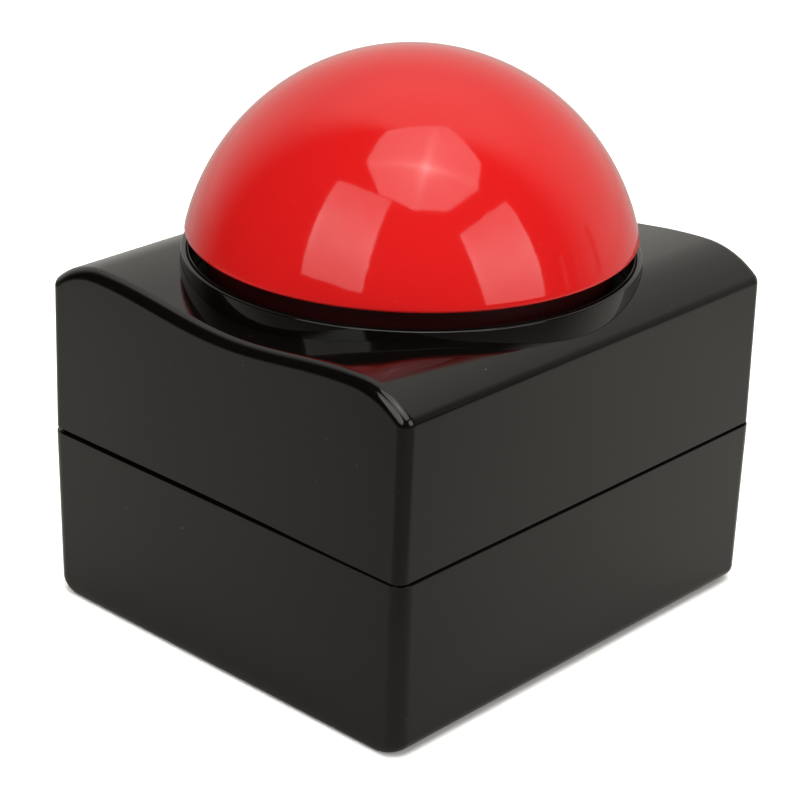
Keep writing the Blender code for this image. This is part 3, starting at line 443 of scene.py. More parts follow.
def paint_gap_shade(nodes, measure, limit):
    """Painted shade: a dull dark maroon colour where measure is under limit, on the surfaces in the gap
    between dome and collar, standing in for the deep shade there.
    """
    outside_gap_shade = nodes.ramp(measure, 0.0, 1.0, limit + 0.05 * MM, limit + 0.25 * MM)
    for name, dull in (("Base Color", GAP_SHADE_COLOUR), ("Roughness", GAP_ROUGHNESS)):
        socket = nodes.shader.inputs[name]
        usual = socket.links[0].from_socket
        if name == "Base Color":
            blended = nodes.mix(outside_gap_shade, dull, usual)
        else:
            blended = nodes.maths("ADD", nodes.maths("MULTIPLY", outside_gap_shade, usual),
                                  nodes.maths("MULTIPLY", nodes.maths("SUBTRACT", 1.0, outside_gap_shade), dull))
        nodes.tree.links.new(blended, socket)


def matte_plastic(name, colour, roughness=0.5):
    nodes = Nodes(name)
    lighter = tuple(min(1.0, c * 1.5 + 0.004) for c in colour)
    nodes.set(colour=nodes.mix(nodes.noise(60.0, 4.0), colour, lighter))
    grain = nodes.noise(2400.0, 3.0)
    nodes.set(roughness=nodes.ramp(grain, roughness * 0.85, roughness * 1.15))
    nodes.set(normal=nodes.bump(grain, 0.35, 0.05 * MM))
    return nodes.material


def rubber(name):
    nodes = Nodes(name)
    nodes.set(colour=nodes.mix(nodes.noise(140.0, 4.0), (0.018, 0.018, 0.018), (0.045, 0.043, 0.040)))
    grain = nodes.noise(1500.0, 4.0)
    nodes.set(roughness=nodes.ramp(grain, 0.70, 0.95), normal=nodes.bump(grain, 0.5, 0.08 * MM))
    return nodes.material


def metal(name, colour, roughness, scratch=700.0):
    nodes = Nodes(name)
    stain = nodes.noise(90.0, 5.0)
    duller = tuple(c * 0.72 for c in colour)
    nodes.set(colour=nodes.mix(stain, colour, duller))
    fine = nodes.noise(scratch, 4.0, 0.7)
    nodes.set(roughness=nodes.ramp(fine, roughness * 0.7, roughness * 1.4), metallic=1.0)
    nodes.set(normal=nodes.bump(fine, 0.2, 0.03 * MM))
    return nodes.material


def board_lacquer(name):
    """Solder mask over copper tracks: a fine square lattice shows faintly through the green."""
    nodes = Nodes(name)
    cells = nodes.add("ShaderNodeTexVoronoi", {"Vector": nodes.place, "Scale": 330.0, "Randomness": 0.25},
                      distance="CHEBYCHEV", feature="F1")
    track = nodes.ramp(cells.outputs["Distance"], 0.0, 1.0, 0.30, 0.36)
    nodes.set(colour=nodes.mix(track, (0.012, 0.085, 0.030), (0.022, 0.155, 0.055)))
    nodes.set(roughness=nodes.ramp(nodes.noise(200.0), 0.25, 0.45))
    nodes.set(normal=nodes.bump(track, 0.4, 0.04 * MM))
    return nodes.material


def paper(name):
    nodes = Nodes(name)
    fibre = nodes.noise(900.0, 6.0, 0.7, 0.4)
    nodes.set(colour=nodes.mix(fibre, (0.020, 0.019, 0.018), (0.075, 0.070, 0.064)))
    nodes.set(roughness=0.92, normal=nodes.bump(fibre, 0.6, 0.1 * MM))
    return nodes.material


def lens(name, colour):
    nodes = Nodes(name)
    nodes.set(colour=nodes.mix(nodes.noise(150.0), colour, tuple(c * 0.7 for c in colour)))
    nodes.set(roughness=nodes.ramp(nodes.noise(500.0), 0.06, 0.16))
    nodes.shader.inputs["Transmission Weight"].default_value = 0.5
    return nodes.material


# Colour, its darker or lighter drift, roughness, orange peel, dust, index of refraction, ripple depth
BLACK_LOOK = ((0.0024, 0.0021, 0.0018), (0.0036, 0.0032, 0.0028), 0.075, 0.026, 0.030, 1.46, 0.003 * MM)
BLACK = gloss_plastic("black_abs", *BLACK_LOOK).material
collar_nodes = gloss_plastic("collar_abs", *BLACK_LOOK)
# Painted shade on the collar's bore, the wall inside the gap under the dome
paint_gap_shade(collar_nodes, collar_nodes.axis_distance(), COLLAR_BORE)
COLLAR_BLACK = collar_nodes.material
RED_LOOK = ((0.545, 0.0092, 0.0092), (0.58, 0.0102, 0.0102), 0.065, 0.020, 0.006, 1.49, 0.012 * MM)
red_nodes = gloss_plastic("red_abs", *RED_LOOK)
# Painted shade on the dome's skirt below the rim, inside the gap
paint_gap_shade(red_nodes, red_nodes.height(), DOME_RIM_Z)
RED = red_nodes.material
MATTE = matte_plastic("matte_black_plastic", (0.014, 0.014, 0.014))
RUBBER = rubber("black_rubber")
STEEL = metal("zinc_plate", (0.62, 0.62, 0.60), 0.28)
BOARD = board_lacquer("solder_mask")
EPOXY = gloss_plastic("black_epoxy", (0.012, 0.012, 0.012), (0.018, 0.018, 0.018), 0.30, 0.2, 0.02).material
WRAP = gloss_plastic("cell_wrap", (0.030, 0.045, 0.090), (0.045, 0.060, 0.110), 0.25, 0.05, 0.02).material
PAPER = paper("cone_paper")
LENS_RED = lens("led_lens", (0.80, 0.04, 0.04))
LEAD_RED = matte_plastic("lead_red", (0.55, 0.018, 0.018), 0.40)
LEAD_BLACK = matte_plastic("lead_black", (0.018, 0.018, 0.018), 0.40)

SLOT_MATERIALS = {
    "housing_black": BLACK,
    "matte_black": MATTE,
    "dome_red": RED,
    "foot_rubber": RUBBER,
    "plated_steel": STEEL,
    "board_green": BOARD,
    "black_epoxy": EPOXY,
    "cell_wrap": WRAP,
    "cone_paper": PAPER,
    "led_lens": LENS_RED,
    "lead_red": LEAD_RED,
    "lead_black": LEAD_BLACK,
}


def dress_frame_nodes():
    for entry in frame["record"]["subparts"]:
        node = NODES[entry["node"]]
        node.data.materials.clear()
        node.data.materials.append(SLOT_MATERIALS[entry["material_slot"]])


# ---------------------------------------------------------------- housing

def saddle_outline(wall, fine):
    """The (x, z) line of the saddle from the middle to the right wall, wall deep under the skin."""
    points = []
    wave_steps = 12 * fine
    for index in range(wave_steps):
        x = CREST_X * index / wave_steps
        rise = (1.0 - math.cos(math.pi * x / CREST_X)) / 2
        points.append((x, VALLEY_Z - wall + (CREST_Z - VALLEY_Z) * rise))
    roll_steps = 6 * fine
    roll = ROLL_RADIUS - wall
    centre_z = CREST_Z - ROLL_RADIUS
    for index in range(roll_steps + 1):
        angle = ROLL_END * index / roll_steps
        points.append((CREST_X + roll * math.sin(angle), centre_z + roll * math.cos(angle)))
    last_x, last_z = points[-1]
    fillet = (TOP_HALF_X - wall - last_x) / (1.0 - math.sin(ROLL_END))
    centre_x = last_x - fillet * math.sin(ROLL_END)
    centre_z = last_z - fillet * math.cos(ROLL_END)
    fillet_steps = 3 * fine
    for index in range(1, fillet_steps + 1):
        angle = ROLL_END + (math.pi / 2 - ROLL_END) * index / fillet_steps
        points.append((centre_x + fillet * math.sin(angle), centre_z + fillet * math.cos(angle)))
    return points


def saddle_block(wall, low_z, fine):
    """The closed solid of the upper half, inset by wall on every side, down to low_z."""
    half = saddle_outline(wall, fine)
    right = half + [(TOP_HALF_X - wall, low_z)]
    outline = [(-x, z) for x, z in reversed(right[1:])] + right
    bm = extruded(outline, -TOP_HALF_Y, 2 * TOP_HALF_Y)
    for vert in bm.verts:
        reach = TOP_HALF_Y - wall - TOP_END_DRAFT * (vert.co.z - PARTING_Z)
        vert.co.y = math.copysign(reach, vert.co.y)
    bmesh.ops.recalc_face_normals(bm, faces=bm.faces)
    rim = []
    for edge in bm.edges:
        first, second = edge.verts
        on_end = first.co.y * second.co.y > 0.0
        at_foot = max(first.co.z, second.co.z) < low_z + MERGE
        if on_end and not at_foot:
            rim.append(edge)
    radius = TOP_EDGE_RADIUS - wall
    if radius > 0.0:
        bmesh.ops.bevel(bm, geom=rim, offset=radius, segments=2 * fine, affect="EDGES", profile=0.5)
        foot = [edge for edge in bm.edges if max(v.co.z for v in edge.verts) < low_z + MERGE]
        bmesh.ops.bevel(bm, geom=foot, offset=SEAM_ROUND, segments=2, affect="EDGES", profile=0.5)
    return bm


def seam_wedge():
    """The near wall's lower edge has warped upwards towards the left, which opens the seam there."""
    low = TOP_LOW.z
    reach = TOP_HALF_X + OVERSHOOT
    outline = [(-reach, low - OVERSHOOT), (reach, low - OVERSHOOT), (reach, low)]
    steps = 24
    for index in range(steps + 1):
        share = index / steps
        eased = share * share * (3.0 - 2.0 * share)
        outline.append((TOP_HALF_X - share * TOP_HALF_X * 1.15, low + SEAM_LIFT * eased))
    outline.append((-reach, low + SEAM_LIFT))
    return extruded(outline, -TOP_HALF_Y - OVERSHOOT, WALL + 2 * OVERSHOOT)


def make_top_shell():
    shell = mesh_object("top_shell_skin", saddle_block(0.0, TOP_LOW.z, 4))
    cavity = mesh_object("top_shell_inside", saddle_block(WALL, TOP_LOW.z - OVERSHOOT, 1))
    bm = bmesh.new()
    add_cylinders(bm, POSTS, POST_RADIUS, TOP_LOW.z - 2 * OVERSHOOT, DOME_TOP_Z)
    add_cylinders(bm, PILLARS, PILLAR_RADIUS, EAR_TOP_Z + GAP, DOME_TOP_Z)
    boolean(cavity, "DIFFERENCE", bm, "posts")
    boolean(shell, "DIFFERENCE", take_mesh(cavity), "inside")
    bm = bmesh.new()
    add_cylinder(bm, COLLAR_OUTER + COLLAR_CLEARANCE, EAR_TOP_Z, DOME_TOP_Z, segments=192)
    add_cylinders(bm, POSTS, PILOT_RADIUS, TOP_LOW.z - OVERSHOOT, TOP_LOW.z + TOP_SCREW_DEPTH, 24)
    add_cylinders(bm, PILLARS, PILOT_RADIUS, EAR_TOP_Z, EAR_TOP_Z + PILLAR_SCREW_DEPTH, 24)
    boolean(shell, "DIFFERENCE", bm, "holes")
    boolean(shell, "DIFFERENCE", seam_wedge(), "seam")
    finish_edges(shell)
    dress(shell, BLACK, "housing_black", "housing", "top_shell")


def rounded_ring(bm, half_x, half_y, radius, z, steps=10):
    """A level loop of vertices round a rectangle with rounded corners."""
    ring = []
    for number, (sx, sy) in enumerate(((1, 1), (-1, 1), (-1, -1), (1, -1))):
        for index in range(steps + 1):
            angle = math.pi / 2 * (number + index / steps)
            x = sx * (half_x - radius) + radius * math.cos(angle)
            y = sy * (half_y - radius) + radius * math.sin(angle)
            ring.append(bm.verts.new((x, y, z)))
    return ring


def stack(sections):
    """A closed solid through rounded rectangles (half_x, half_y, corner radius, z), lowest first."""
    bm = bmesh.new()
    rings = [rounded_ring(bm, *section) for section in sections]
    for lower, upper in zip(rings, rings[1:]):
        for index in range(len(lower)):
            after = (index + 1) % len(lower)
            bm.faces.new((lower[index], lower[after], upper[after], upper[index]))
    bm.faces.new(list(reversed(rings[0])))
    bm.faces.new(rings[-1])
    return bm


def base_half(z, inset=0.0):
    shrink = inset + BASE_DRAFT * (PARTING_Z - z)
    return HALF_X - shrink, HALF_Y - shrink


def base_skin():
    """The base's outside: drafted walls over a rolled bottom edge, with a fine round at the seam."""
    sections = []
    turn_z = BASE_LOW_Z + BOTTOM_FILLET.z
    half_x, half_y = base_half(turn_z)
    steps = 12
    for index in range(steps + 1):
        angle = math.pi / 2 * (1.0 - index / steps)
        back = 1.0 - math.cos(angle)
        corner = CORNER_RADIUS - min(BOTTOM_FILLET.x, BOTTOM_FILLET.y) * back
        sections.append((half_x - BOTTOM_FILLET.x * back, half_y - BOTTOM_FILLET.y * back, corner,
                         turn_z - BOTTOM_FILLET.z * math.sin(angle)))
    half_x, half_y = base_half(BASE_TOP_Z)
    for angle in (0.0, math.pi / 4, math.pi / 2):
        back = SEAM_ROUND * (1.0 - math.cos(angle))
        sections.append((half_x - back, half_y - back, CORNER_RADIUS,
                         BASE_TOP_Z - SEAM_ROUND * (1.0 - math.sin(angle))))
    return stack(sections)


def base_inside(inset, low_z, high_z, corner):
    return stack([(*base_half(low_z, inset), corner, low_z), (*base_half(high_z, inset), corner, high_z)])


def grille_points():
    points = [(0.0, SPEAKER_Y)]
    for ring in (1, 2):
        for index in range(6 * ring):
            angle = 2 * math.pi * index / (6 * ring)
            radius = GRILLE_PITCH * ring
            points.append((radius * math.cos(angle), SPEAKER_Y + radius * math.sin(angle)))
    return points


def make_base_shell():
    shell = mesh_object("base_shell_skin", base_skin())
    inside = base_inside(WALL, FLOOR_Z, BASE_TOP_Z + OVERSHOOT, CORNER_RADIUS - WALL)
    cavity = mesh_object("base_inside", inside)
    bm = bmesh.new()
    block = BAY_HALF + BAY_WALL
    add_box(bm, (-block.x, BAY_Y - block.y, 0.0), (block.x, BAY_Y + block.y, BAY_CEILING_Z + BAY_WALL.y))
    add_cylinders(bm, POSTS, POST_RADIUS, 0.0, BASE_TOP_Z + 2 * OVERSHOOT)
    add_cylinders(bm, SPEAKER_SCREWS, SPEAKER_BOSS_RADIUS, 0.0, FLOOR_Z + 5 * MM)
    boolean(cavity, "DIFFERENCE", bm, "bosses")
    boolean(shell, "DIFFERENCE", take_mesh(cavity), "inside")

    tongue = mesh_object("tongue", base_inside(1.0 * MM, 36 * MM, 40 * MM, CORNER_RADIUS - MM))
    boolean(tongue, "UNION", base_inside(2.6 * MM, 37 * MM, 42.6 * MM, 1.0 * MM), "tip")
    boolean(tongue, "DIFFERENCE", base_inside(3.4 * MM, 35 * MM, 44 * MM, 0.3 * MM), "opening")
    boolean(shell, "UNION", take_mesh(tongue), "tongue")

    bm = bmesh.new()
    add_cylinders(bm, BOARD_SCREWS, BOARD_POST_RADIUS, BAY_CEILING_Z + 0.7 * MM, BOARD_LOW.z - GAP)
    boolean(shell, "UNION", bm, "board_posts")

    bm = bmesh.new()
    add_box(bm, (-BAY_HALF.x, BAY_Y - BAY_HALF.y, -OVERSHOOT),
            (BAY_HALF.x, BAY_Y + BAY_HALF.y, BAY_CEILING_Z))
    add_cylinders(bm, POSTS, SCREW_WELL_RADIUS, -OVERSHOOT, SCREW_WELL_TOP_Z)
    add_cylinders(bm, FEET, FOOT_RADIUS + GAP, -OVERSHOOT, FOOT_HIGH.z + GAP)
    add_cylinders(bm, grille_points(), GRILLE_HOLE_RADIUS, -OVERSHOOT, FLOOR_Z + OVERSHOOT, 28)
    slot_low = KNOB_LOW - Vector((0.4 * MM, GAP, 2 * OVERSHOOT))
    slot_high = KNOB_HIGH + Vector((0.4 * MM, GAP + POWER_TRAVEL, OVERSHOOT))
    add_box(bm, slot_low, slot_high)
    add_cylinders(bm, SPEAKER_SCREWS, SMALL_PILOT_RADIUS, FLOOR_Z + 0.5 * MM, FLOOR_Z + 6 * MM, 20)
    add_cylinders(bm, BOARD_SCREWS, SMALL_PILOT_RADIUS, BAY_CEILING_Z + MM, BOARD_LOW.z + OVERSHOOT, 20)
    boolean(shell, "DIFFERENCE", bm, "floor_holes")

    bm = bmesh.new()
    clear = Vector((GAP, GAP, 0.0))
    add_box(bm, DOOR_LOW - clear - Vector((0.0, 0.0, 2 * OVERSHOOT)),
            Vector((DOOR_HIGH.x, DOOR_HIGH.y, DOOR_BACK_Z + GAP)) + clear)
    add_cylinders(bm, POSTS, PILOT_RADIUS, SCREW_WELL_TOP_Z - OVERSHOOT, BASE_TOP_Z + OVERSHOOT, 24)
    boolean(shell, "DIFFERENCE", bm, "door_rebate")
    for radius, low_z, high_z in ((DOOR_BOSS_RADIUS + GAP, DOOR_FACE_Z, DOOR_HIGH.z + GAP),
                                  (SMALL_PILOT_RADIUS, DOOR_BACK_Z, DOOR_HIGH.z + 7 * MM)):
        bm = bmesh.new()
        add_cylinders(bm, DOOR_SCREWS, radius, low_z, high_z, 32)
        boolean(shell, "DIFFERENCE", bm, "door_recess")
    finish_edges(shell)
    dress(shell, BLACK, "housing_black", "housing", "base_shell")


# ---------------------------------------------------------------- underside pieces and fasteners

def make_battery_door():
    """The door: a flat panel with two screw bosses and a row of grip ribs along its inner edge."""
    inset = 0.25 * MM
    half = (DOOR_HIGH - DOOR_LOW) / 2
    sections = [
        (half.x - inset, half.y - inset, 0.6 * MM, DOOR_FACE_Z),
        (half.x, half.y, 0.8 * MM, DOOR_FACE_Z + inset),
        (half.x, half.y, 0.8 * MM, DOOR_BACK_Z - inset),
        (half.x - inset, half.y - inset, 0.6 * MM, DOOR_BACK_Z),
    ]
    bm = stack(sections)
    bmesh.ops.translate(bm, verts=bm.verts, vec=(0.0, BAY_Y, 0.0))
    door = mesh_object("battery_door_skin", bm)
    bm = bmesh.new()
    add_cylinders(bm, DOOR_SCREWS, DOOR_BOSS_RADIUS, DOOR_BACK_Z - MM, DOOR_HIGH.z, 32)
    boolean(door, "UNION", bm, "bosses")
    bm = bmesh.new()
    add_cylinders(bm, DOOR_SCREWS, DOOR_HEAD_RADIUS, DOOR_FACE_Z - OVERSHOOT, DOOR_SEAT_Z, 32)
    for index in range(DOOR_GRIPS):
        y = BAY_Y + half.y - 3.2 * MM - index * DOOR_GRIP_PITCH
        add_box(bm, (-DOOR_GRIP_HALF.x, y - DOOR_GRIP_HALF.y, DOOR_FACE_Z - OVERSHOOT),
                (DOOR_GRIP_HALF.x, y + DOOR_GRIP_HALF.y, DOOR_FACE_Z + DOOR_GRIP_DEPTH))
    boolean(door, "DIFFERENCE", bm, "seats_and_grips")
    bm = bmesh.new()
    add_cylinders(bm, DOOR_SCREWS, SMALL_PILOT_RADIUS, DOOR_FACE_Z, DOOR_HIGH.z + OVERSHOOT, 20)
    boolean(door, "DIFFERENCE", bm, "screw_holes")
    finish_edges(door)
    dress(door, BLACK, "housing_black", "battery_door", "battery_door")


# Head radius, head height, shank radius and thread pitch, in millimetres
SMALL_SCREW = (2.2, 1.4, 0.9, 0.55)
LARGE_SCREW = (2.8, 2.0, 1.3, 0.8)


def make_screw(node, body, small, head_up=False):
    """A pan-head screw with a cross recess and a threaded shank."""
    low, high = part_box(node)
    sizes = SMALL_SCREW if small else LARGE_SCREW
    head, height, shank, pitch = (size * MM for size in sizes)
    length = high.z - low.z - height
    outline = [(0.0, -height), (head * 0.55, -height)]
    outline += arc(head * 0.55, -height * 0.35, height * 0.65, -90.0, 0.0, 6)[1:]
    outline = [(min(radius, head), z) for radius, z in outline]
    outline += [(head, -height * 0.3), (head, 0.0), (shank, 0.0)]
    turns = int((length - 2 * shank) / pitch)
    for index in range(turns):
        z = 0.4 * MM + index * pitch
        outline += [(shank * 0.78, z), (shank, z + pitch / 2)]
    outline += [(shank * 0.78, length - shank), (0.0, length)]
    screw = turned(node + "_turned", outline, 40)
    reach = head * 0.62
    half = head * 0.13
    for along in ((reach, half), (half, reach)):
        bm = bmesh.new()
        add_box(bm, (-along[0], -along[1], -height - OVERSHOOT), (along[0], along[1], -height * 0.35))
        boolean(screw, "DIFFERENCE", bm, "cross")
    if head_up:
        screw.data.transform(Matrix.Rotation(math.pi, 4, "X"))
    centre = middle(low, high)
    seat_z = high.z - height if head_up else low.z + height
    screw.data.transform(Matrix.Translation((centre.x, centre.y, seat_z)))
    finish_edges(screw)
    dress(screw, STEEL, "plated_steel", body, node)


def make_screws():
    for number in range(1, 5):
        make_screw(f"housing_screw_{number}", "housing", False)
        make_screw(f"mechanism_screw_{number}", "housing", False)
    for number in range(1, 3):
        make_screw(f"battery_door_screw_{number}", "battery_door", True)
        make_screw(f"speaker_screw_{number}", "housing", True, True)
        make_screw(f"board_screw_{number}", "housing", True, True)


def make_feet():
    """Each foot is a soft disc with a rolled edge and a shallow dish in its tread."""
    top = FOOT_HIGH.z
    for number, (x, y) in enumerate(FEET, 1):
        round_radius = 0.45 * MM
        outline = [(0.0, top), (FOOT_RADIUS, top)]
        outline += arc(FOOT_RADIUS - round_radius, round_radius, round_radius, 0.0, -90.0, 6)
        outline += [(FOOT_RADIUS * 0.62, 0.0), (FOOT_RADIUS * 0.55, 0.18 * MM), (0.0, 0.22 * MM)]
        foot = turned(f"foot_tread_{number}", outline, 72)
        foot.data.transform(Matrix.Translation((x, y, 0.0)))
        dress(foot, RUBBER, "foot_rubber", "housing", f"rubber_foot_{number}")


def make_knob():
    bm = bmesh.new()
    add_box(bm, KNOB_LOW, KNOB_HIGH)
    bmesh.ops.bevel(bm, geom=bm.edges[:], offset=KNOB_ROUND, segments=3, affect="EDGES", profile=0.5)
    knob = mesh_object("power_knob_cap", bm)
    centre = middle(KNOB_LOW, KNOB_HIGH)
    bm = bmesh.new()
    for index in (-1, 0, 1):
        y = centre.y + index * KNOB_GRIP_PITCH
        add_box(bm, (KNOB_LOW.x - MM, y - KNOB_GRIP_HALF, KNOB_LOW.z - MM),
                (KNOB_HIGH.x + MM, y + KNOB_GRIP_HALF, KNOB_LOW.z + 0.3 * MM))
    boolean(knob, "DIFFERENCE", bm, "grips")
    finish_edges(knob)
    dress(knob, MATTE, "matte_black", "power_knob", "power_switch_knob")


# ---------------------------------------------------------------- button and collar

def dome_curve(low_z, wall, count):
    top = DOME_TOP_Z - wall
    start = math.asin((low_z - DOME_CENTRE_Z) / (top - DOME_CENTRE_Z))
    points = []
    for index in range(count + 1):
        angle = math.pi / 2 + (start - math.pi / 2) * index / count
        radius = max(0.0, (DOME_RADIUS - wall) * math.cos(angle))
        points.append((radius, DOME_CENTRE_Z + (top - DOME_CENTRE_Z) * math.sin(angle)))
    return points


def make_dome():
    rim_z = DOME_RIM_Z + DOME_RIM_ROUND
    outside = dome_curve(rim_z, 0.0, 96)
    edge = arc(outside[-1][0] - DOME_RIM_ROUND, rim_z, DOME_RIM_ROUND, 0.0, -90.0, 8)[1:]
    skirt_inner = SKIRT_OUTER - DOME_SKIRT_WALL
    skirt = [(SKIRT_OUTER, DOME_RIM_Z), (SKIRT_OUTER, DOME_LOW.z), (skirt_inner, DOME_LOW.z),
             (skirt_inner, DOME_RIM_Z + 1.5 * MM)]
    inside = dome_curve(DOME_RIM_Z + 3.5 * MM, DOME_WALL, 32)
    inside.reverse()
    dome = turned("dome_skin", outside + edge + skirt + inside, 256)
    dress(dome, RED, "dome_red", "button", "dome")


def make_collar():
    """The ring that the button sinks into: a wall with a crowned top and four screw ears under the shell."""
    lip = (COLLAR_OUTER - COLLAR_BORE) / 2
    round_top = arc(COLLAR_BORE + lip, 0.0, lip, 180.0, 0.0, 16)
    outline = [(radius, COLLAR_TOP_Z + (z - lip) * LIP_CROWN) for radius, z in round_top]
    outline += [(COLLAR_OUTER, RING_LOW.z), (COLLAR_BORE, RING_LOW.z)]
    ring = turned("collar_skin", outline, 192, closed=True)
    bm = bmesh.new()
    add_cylinders(bm, PILLARS, EAR_RADIUS, RING_LOW.z, EAR_TOP_Z)
    ears = mesh_object("collar_ears", bm)
    bm = bmesh.new()
    add_cylinder(bm, COLLAR_BORE + 0.4 * MM, RING_LOW.z - OVERSHOOT, COLLAR_TOP_Z, segments=192)
    add_cylinders(bm, PILLARS, PILOT_RADIUS, RING_LOW.z - OVERSHOOT, COLLAR_TOP_Z, 24)
    boolean(ears, "DIFFERENCE", bm, "ear_holes")
    boolean(ring, "UNION", take_mesh(ears), "ears")
    shade(ring.data)
    dress(ring, COLLAR_BLACK, "housing_black", "housing", "collar_ring")


def make_carrier():
    """The cup in the dome's skirt: guide rib, spring plate with windows, hooks, pins and actuator."""
    inner = SKIRT_OUTER - SKIRT_WALL
    cup_outer = SKIRT_OUTER - DOME_SKIRT_WALL - GAP
    cup_inner = cup_outer - SKIRT_WALL
    plate_top = PLATE_Z + PLATE_THICK
    guide = COLLAR_BORE - GAP
    outline = [
        (0.0, plate_top), (cup_inner, plate_top), (cup_inner, CARRIER_HIGH.z), (cup_outer, CARRIER_HIGH.z),
        (cup_outer, GUIDE_HIGH_Z), (guide, GUIDE_HIGH_Z), (guide, GUIDE_LOW_Z), (SKIRT_OUTER, GUIDE_LOW_Z),
        (SKIRT_OUTER, CARRIER_LOW.z), (inner, CARRIER_LOW.z), (inner, PLATE_Z), (0.0, PLATE_Z),
    ]
    carrier = turned("carrier_cup", outline, 160)
    bm = bmesh.new()
    add_cylinders(bm, four_corners(WINDOW_REACH), WINDOW_RADIUS, PLATE_Z - OVERSHOOT, plate_top + OVERSHOOT)
    boolean(carrier, "DIFFERENCE", bm, "windows")
    bm = bmesh.new()
    lug_top = RING_LOW.z - GAP
    for quarter in range(4):
        verts = add_box(bm, (inner + MM, -HOOK_HALF_WIDTH, lug_top - HOOK_THICK),
                        (LUG_REACH, HOOK_HALF_WIDTH, lug_top))
        turn = Matrix.Rotation(quarter * math.pi / 2, 3, "Z")
        bmesh.ops.rotate(bm, verts=verts, cent=(0.0, 0.0, 0.0), matrix=turn)
    reach = SPRING_PIN_REACH
    add_cylinders(bm, ((reach, 0.0), (0.0, reach), (-reach, 0.0), (0.0, -reach)), SPRING_PIN_RADIUS,
                  PLATE_Z - SPRING_PIN_LENGTH, PLATE_Z + OVERSHOOT, 32)
    add_cylinder(bm, ACTUATOR_RADIUS, ACTUATOR_LOW_Z, PLATE_Z + OVERSHOOT, ACTUATOR_X, 0.0, 24)
    boolean(carrier, "UNION", bm, "hooks")
    shade(carrier.data)
    dress(carrier, BLACK, "housing_black", "button", "button_carrier")


def make_leds():
    """Lamps with a moulded flange and a domed lens."""
    for number in range(1, 5):
        low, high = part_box(f"led_{number}")
        height = high.z - low.z
        outline = arc(0.0, height - 2.5 * MM, 2.5 * MM, 90.0, 0.0, 12)
        outline += [(2.5 * MM, 1.0 * MM), (2.9 * MM, 1.0 * MM), (2.9 * MM, 0.0), (0.0, 0.0)]
        led = turned(f"led_{number}_lens", outline, 48)
        centre = middle(low, high)
        led.data.transform(Matrix.Translation((centre.x, centre.y, low.z)))
        dress(led, LENS_RED, "led_lens", "housing", f"led_{number}")


def make_springs():
    """The four return springs: wire coils with closer end turns."""
    wire = SPRING_WIRE
    steps = 48
    sides = 12
    for number in range(1, 5):
        node = f"return_spring_{number}"
        low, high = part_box(node)
        centre = middle(low, high)
        radius = (high.x - low.x) / 2 - wire
        rise = high.z - low.z - 2 * wire
        bm = bmesh.new()
        rings = []
        for index in range(SPRING_TURNS * steps + 1):
            share = index / (SPRING_TURNS * steps)
            angle = 2 * math.pi * SPRING_TURNS * share
            outward = Vector((math.cos(angle), math.sin(angle), 0.0))
            eased = share - SPRING_SQUEEZE * math.sin(2 * math.pi * share) / (2 * math.pi)
            heart = Vector((centre.x, centre.y, low.z + wire + rise * eased)) + outward * radius
            ring = []
            for side in range(sides):
                turn = 2 * math.pi * side / sides
                offset = outward * math.cos(turn) + Vector((0.0, 0.0, 1.0)) * math.sin(turn)
                ring.append(bm.verts.new(heart + offset * wire))
            rings.append(ring)
        for first, second in zip(rings, rings[1:]):
            for side in range(sides):
                after = (side + 1) % sides
                bm.faces.new((first[side], first[after], second[after], second[side]))
        bm.faces.new(rings[0])
        bm.faces.new(list(reversed(rings[-1])))
        bmesh.ops.recalc_face_normals(bm, faces=bm.faces)
        spring = mesh_object(f"spring_coil_{number}", bm)
        dress(spring, STEEL, "plated_steel", "housing", node)
        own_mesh(spring)


# ---------------------------------------------------------------- studio

def make_camera():
    data = bpy.data.cameras.new("camera")
    data.sensor_width = SENSOR
    data.lens = LENS
    camera = bpy.data.objects.new("camera", data)
    bpy.context.scene.collection.objects.link(camera)
    back = -CAMERA_FORWARD.normalized()
    camera.rotation_mode = "QUATERNION"
    level = back.to_track_quat("Z", "Y")
    camera.rotation_quaternion = level @ Matrix.Rotation(CAMERA_ROLL, 3, "Z").to_quaternion()
    camera.location = CAMERA_PLACE
    bpy.context.scene.camera = camera


def direction(azimuth, elevation):
    """A unit vector; azimuth 0 looks from -Y and 90 from +X."""
    a = math.radians(azimuth)
    e = math.radians(elevation)
    return Vector((math.sin(a) * math.cos(e), -math.cos(a) * math.cos(e), math.sin(e)))


class Shading:
    """A short way to wire up the lamps, the floor and the sky."""

    def __init__(self, tree):
        self.tree = tree
        tree.nodes.clear()
        self.path = tree.nodes.new("ShaderNodeLightPath")

    def plug(self, value, socket):
        if isinstance(value, bpy.types.NodeSocket):
            self.tree.links.new(value, socket)
        else:
            socket.default_value = value

    def finish(self, socket, kind):
        output = self.tree.nodes.new("ShaderNodeOutput" + kind)
        self.tree.links.new(socket, output.inputs["Surface"])

    def maths(self, operation, *values):
        node = self.tree.nodes.new("ShaderNodeMath")
        node.operation = operation
        for value, socket in zip(values, node.inputs):
            self.plug(value, socket)
        return node.outputs[0]

    def falling(self, value, rate):
        """1 where the value is 0, and less and less as it grows."""
        return self.maths("POWER", math.e, self.maths("MULTIPLY", value, -rate))

    def along(self, place, way):
        node = self.tree.nodes.new("ShaderNodeVectorMath")
        node.operation = "DOT_PRODUCT"
        node.inputs[1].default_value = way
        self.tree.links.new(place, node.inputs[0])
        return node.outputs["Value"]

    def ramp(self, value, from_low, from_high, low, high, kind="LINEAR"):
        node = self.tree.nodes.new("ShaderNodeMapRange")
        node.interpolation_type = kind
        limits = {"From Min": from_low, "From Max": from_high, "To Min": low, "To Max": high}
        for name, number in limits.items():
            node.inputs[name].default_value = number
        self.tree.links.new(value, node.inputs["Value"])
        return node.outputs["Result"]

    def mix(self, factor, first, second):
        node = self.tree.nodes.new("ShaderNodeMix")
        node.data_type = "RGBA"
        self.plug(factor, node.inputs[0])
        self.plug(first, node.inputs[6])
        self.plug(second, node.inputs[7])
        return node.outputs[2]


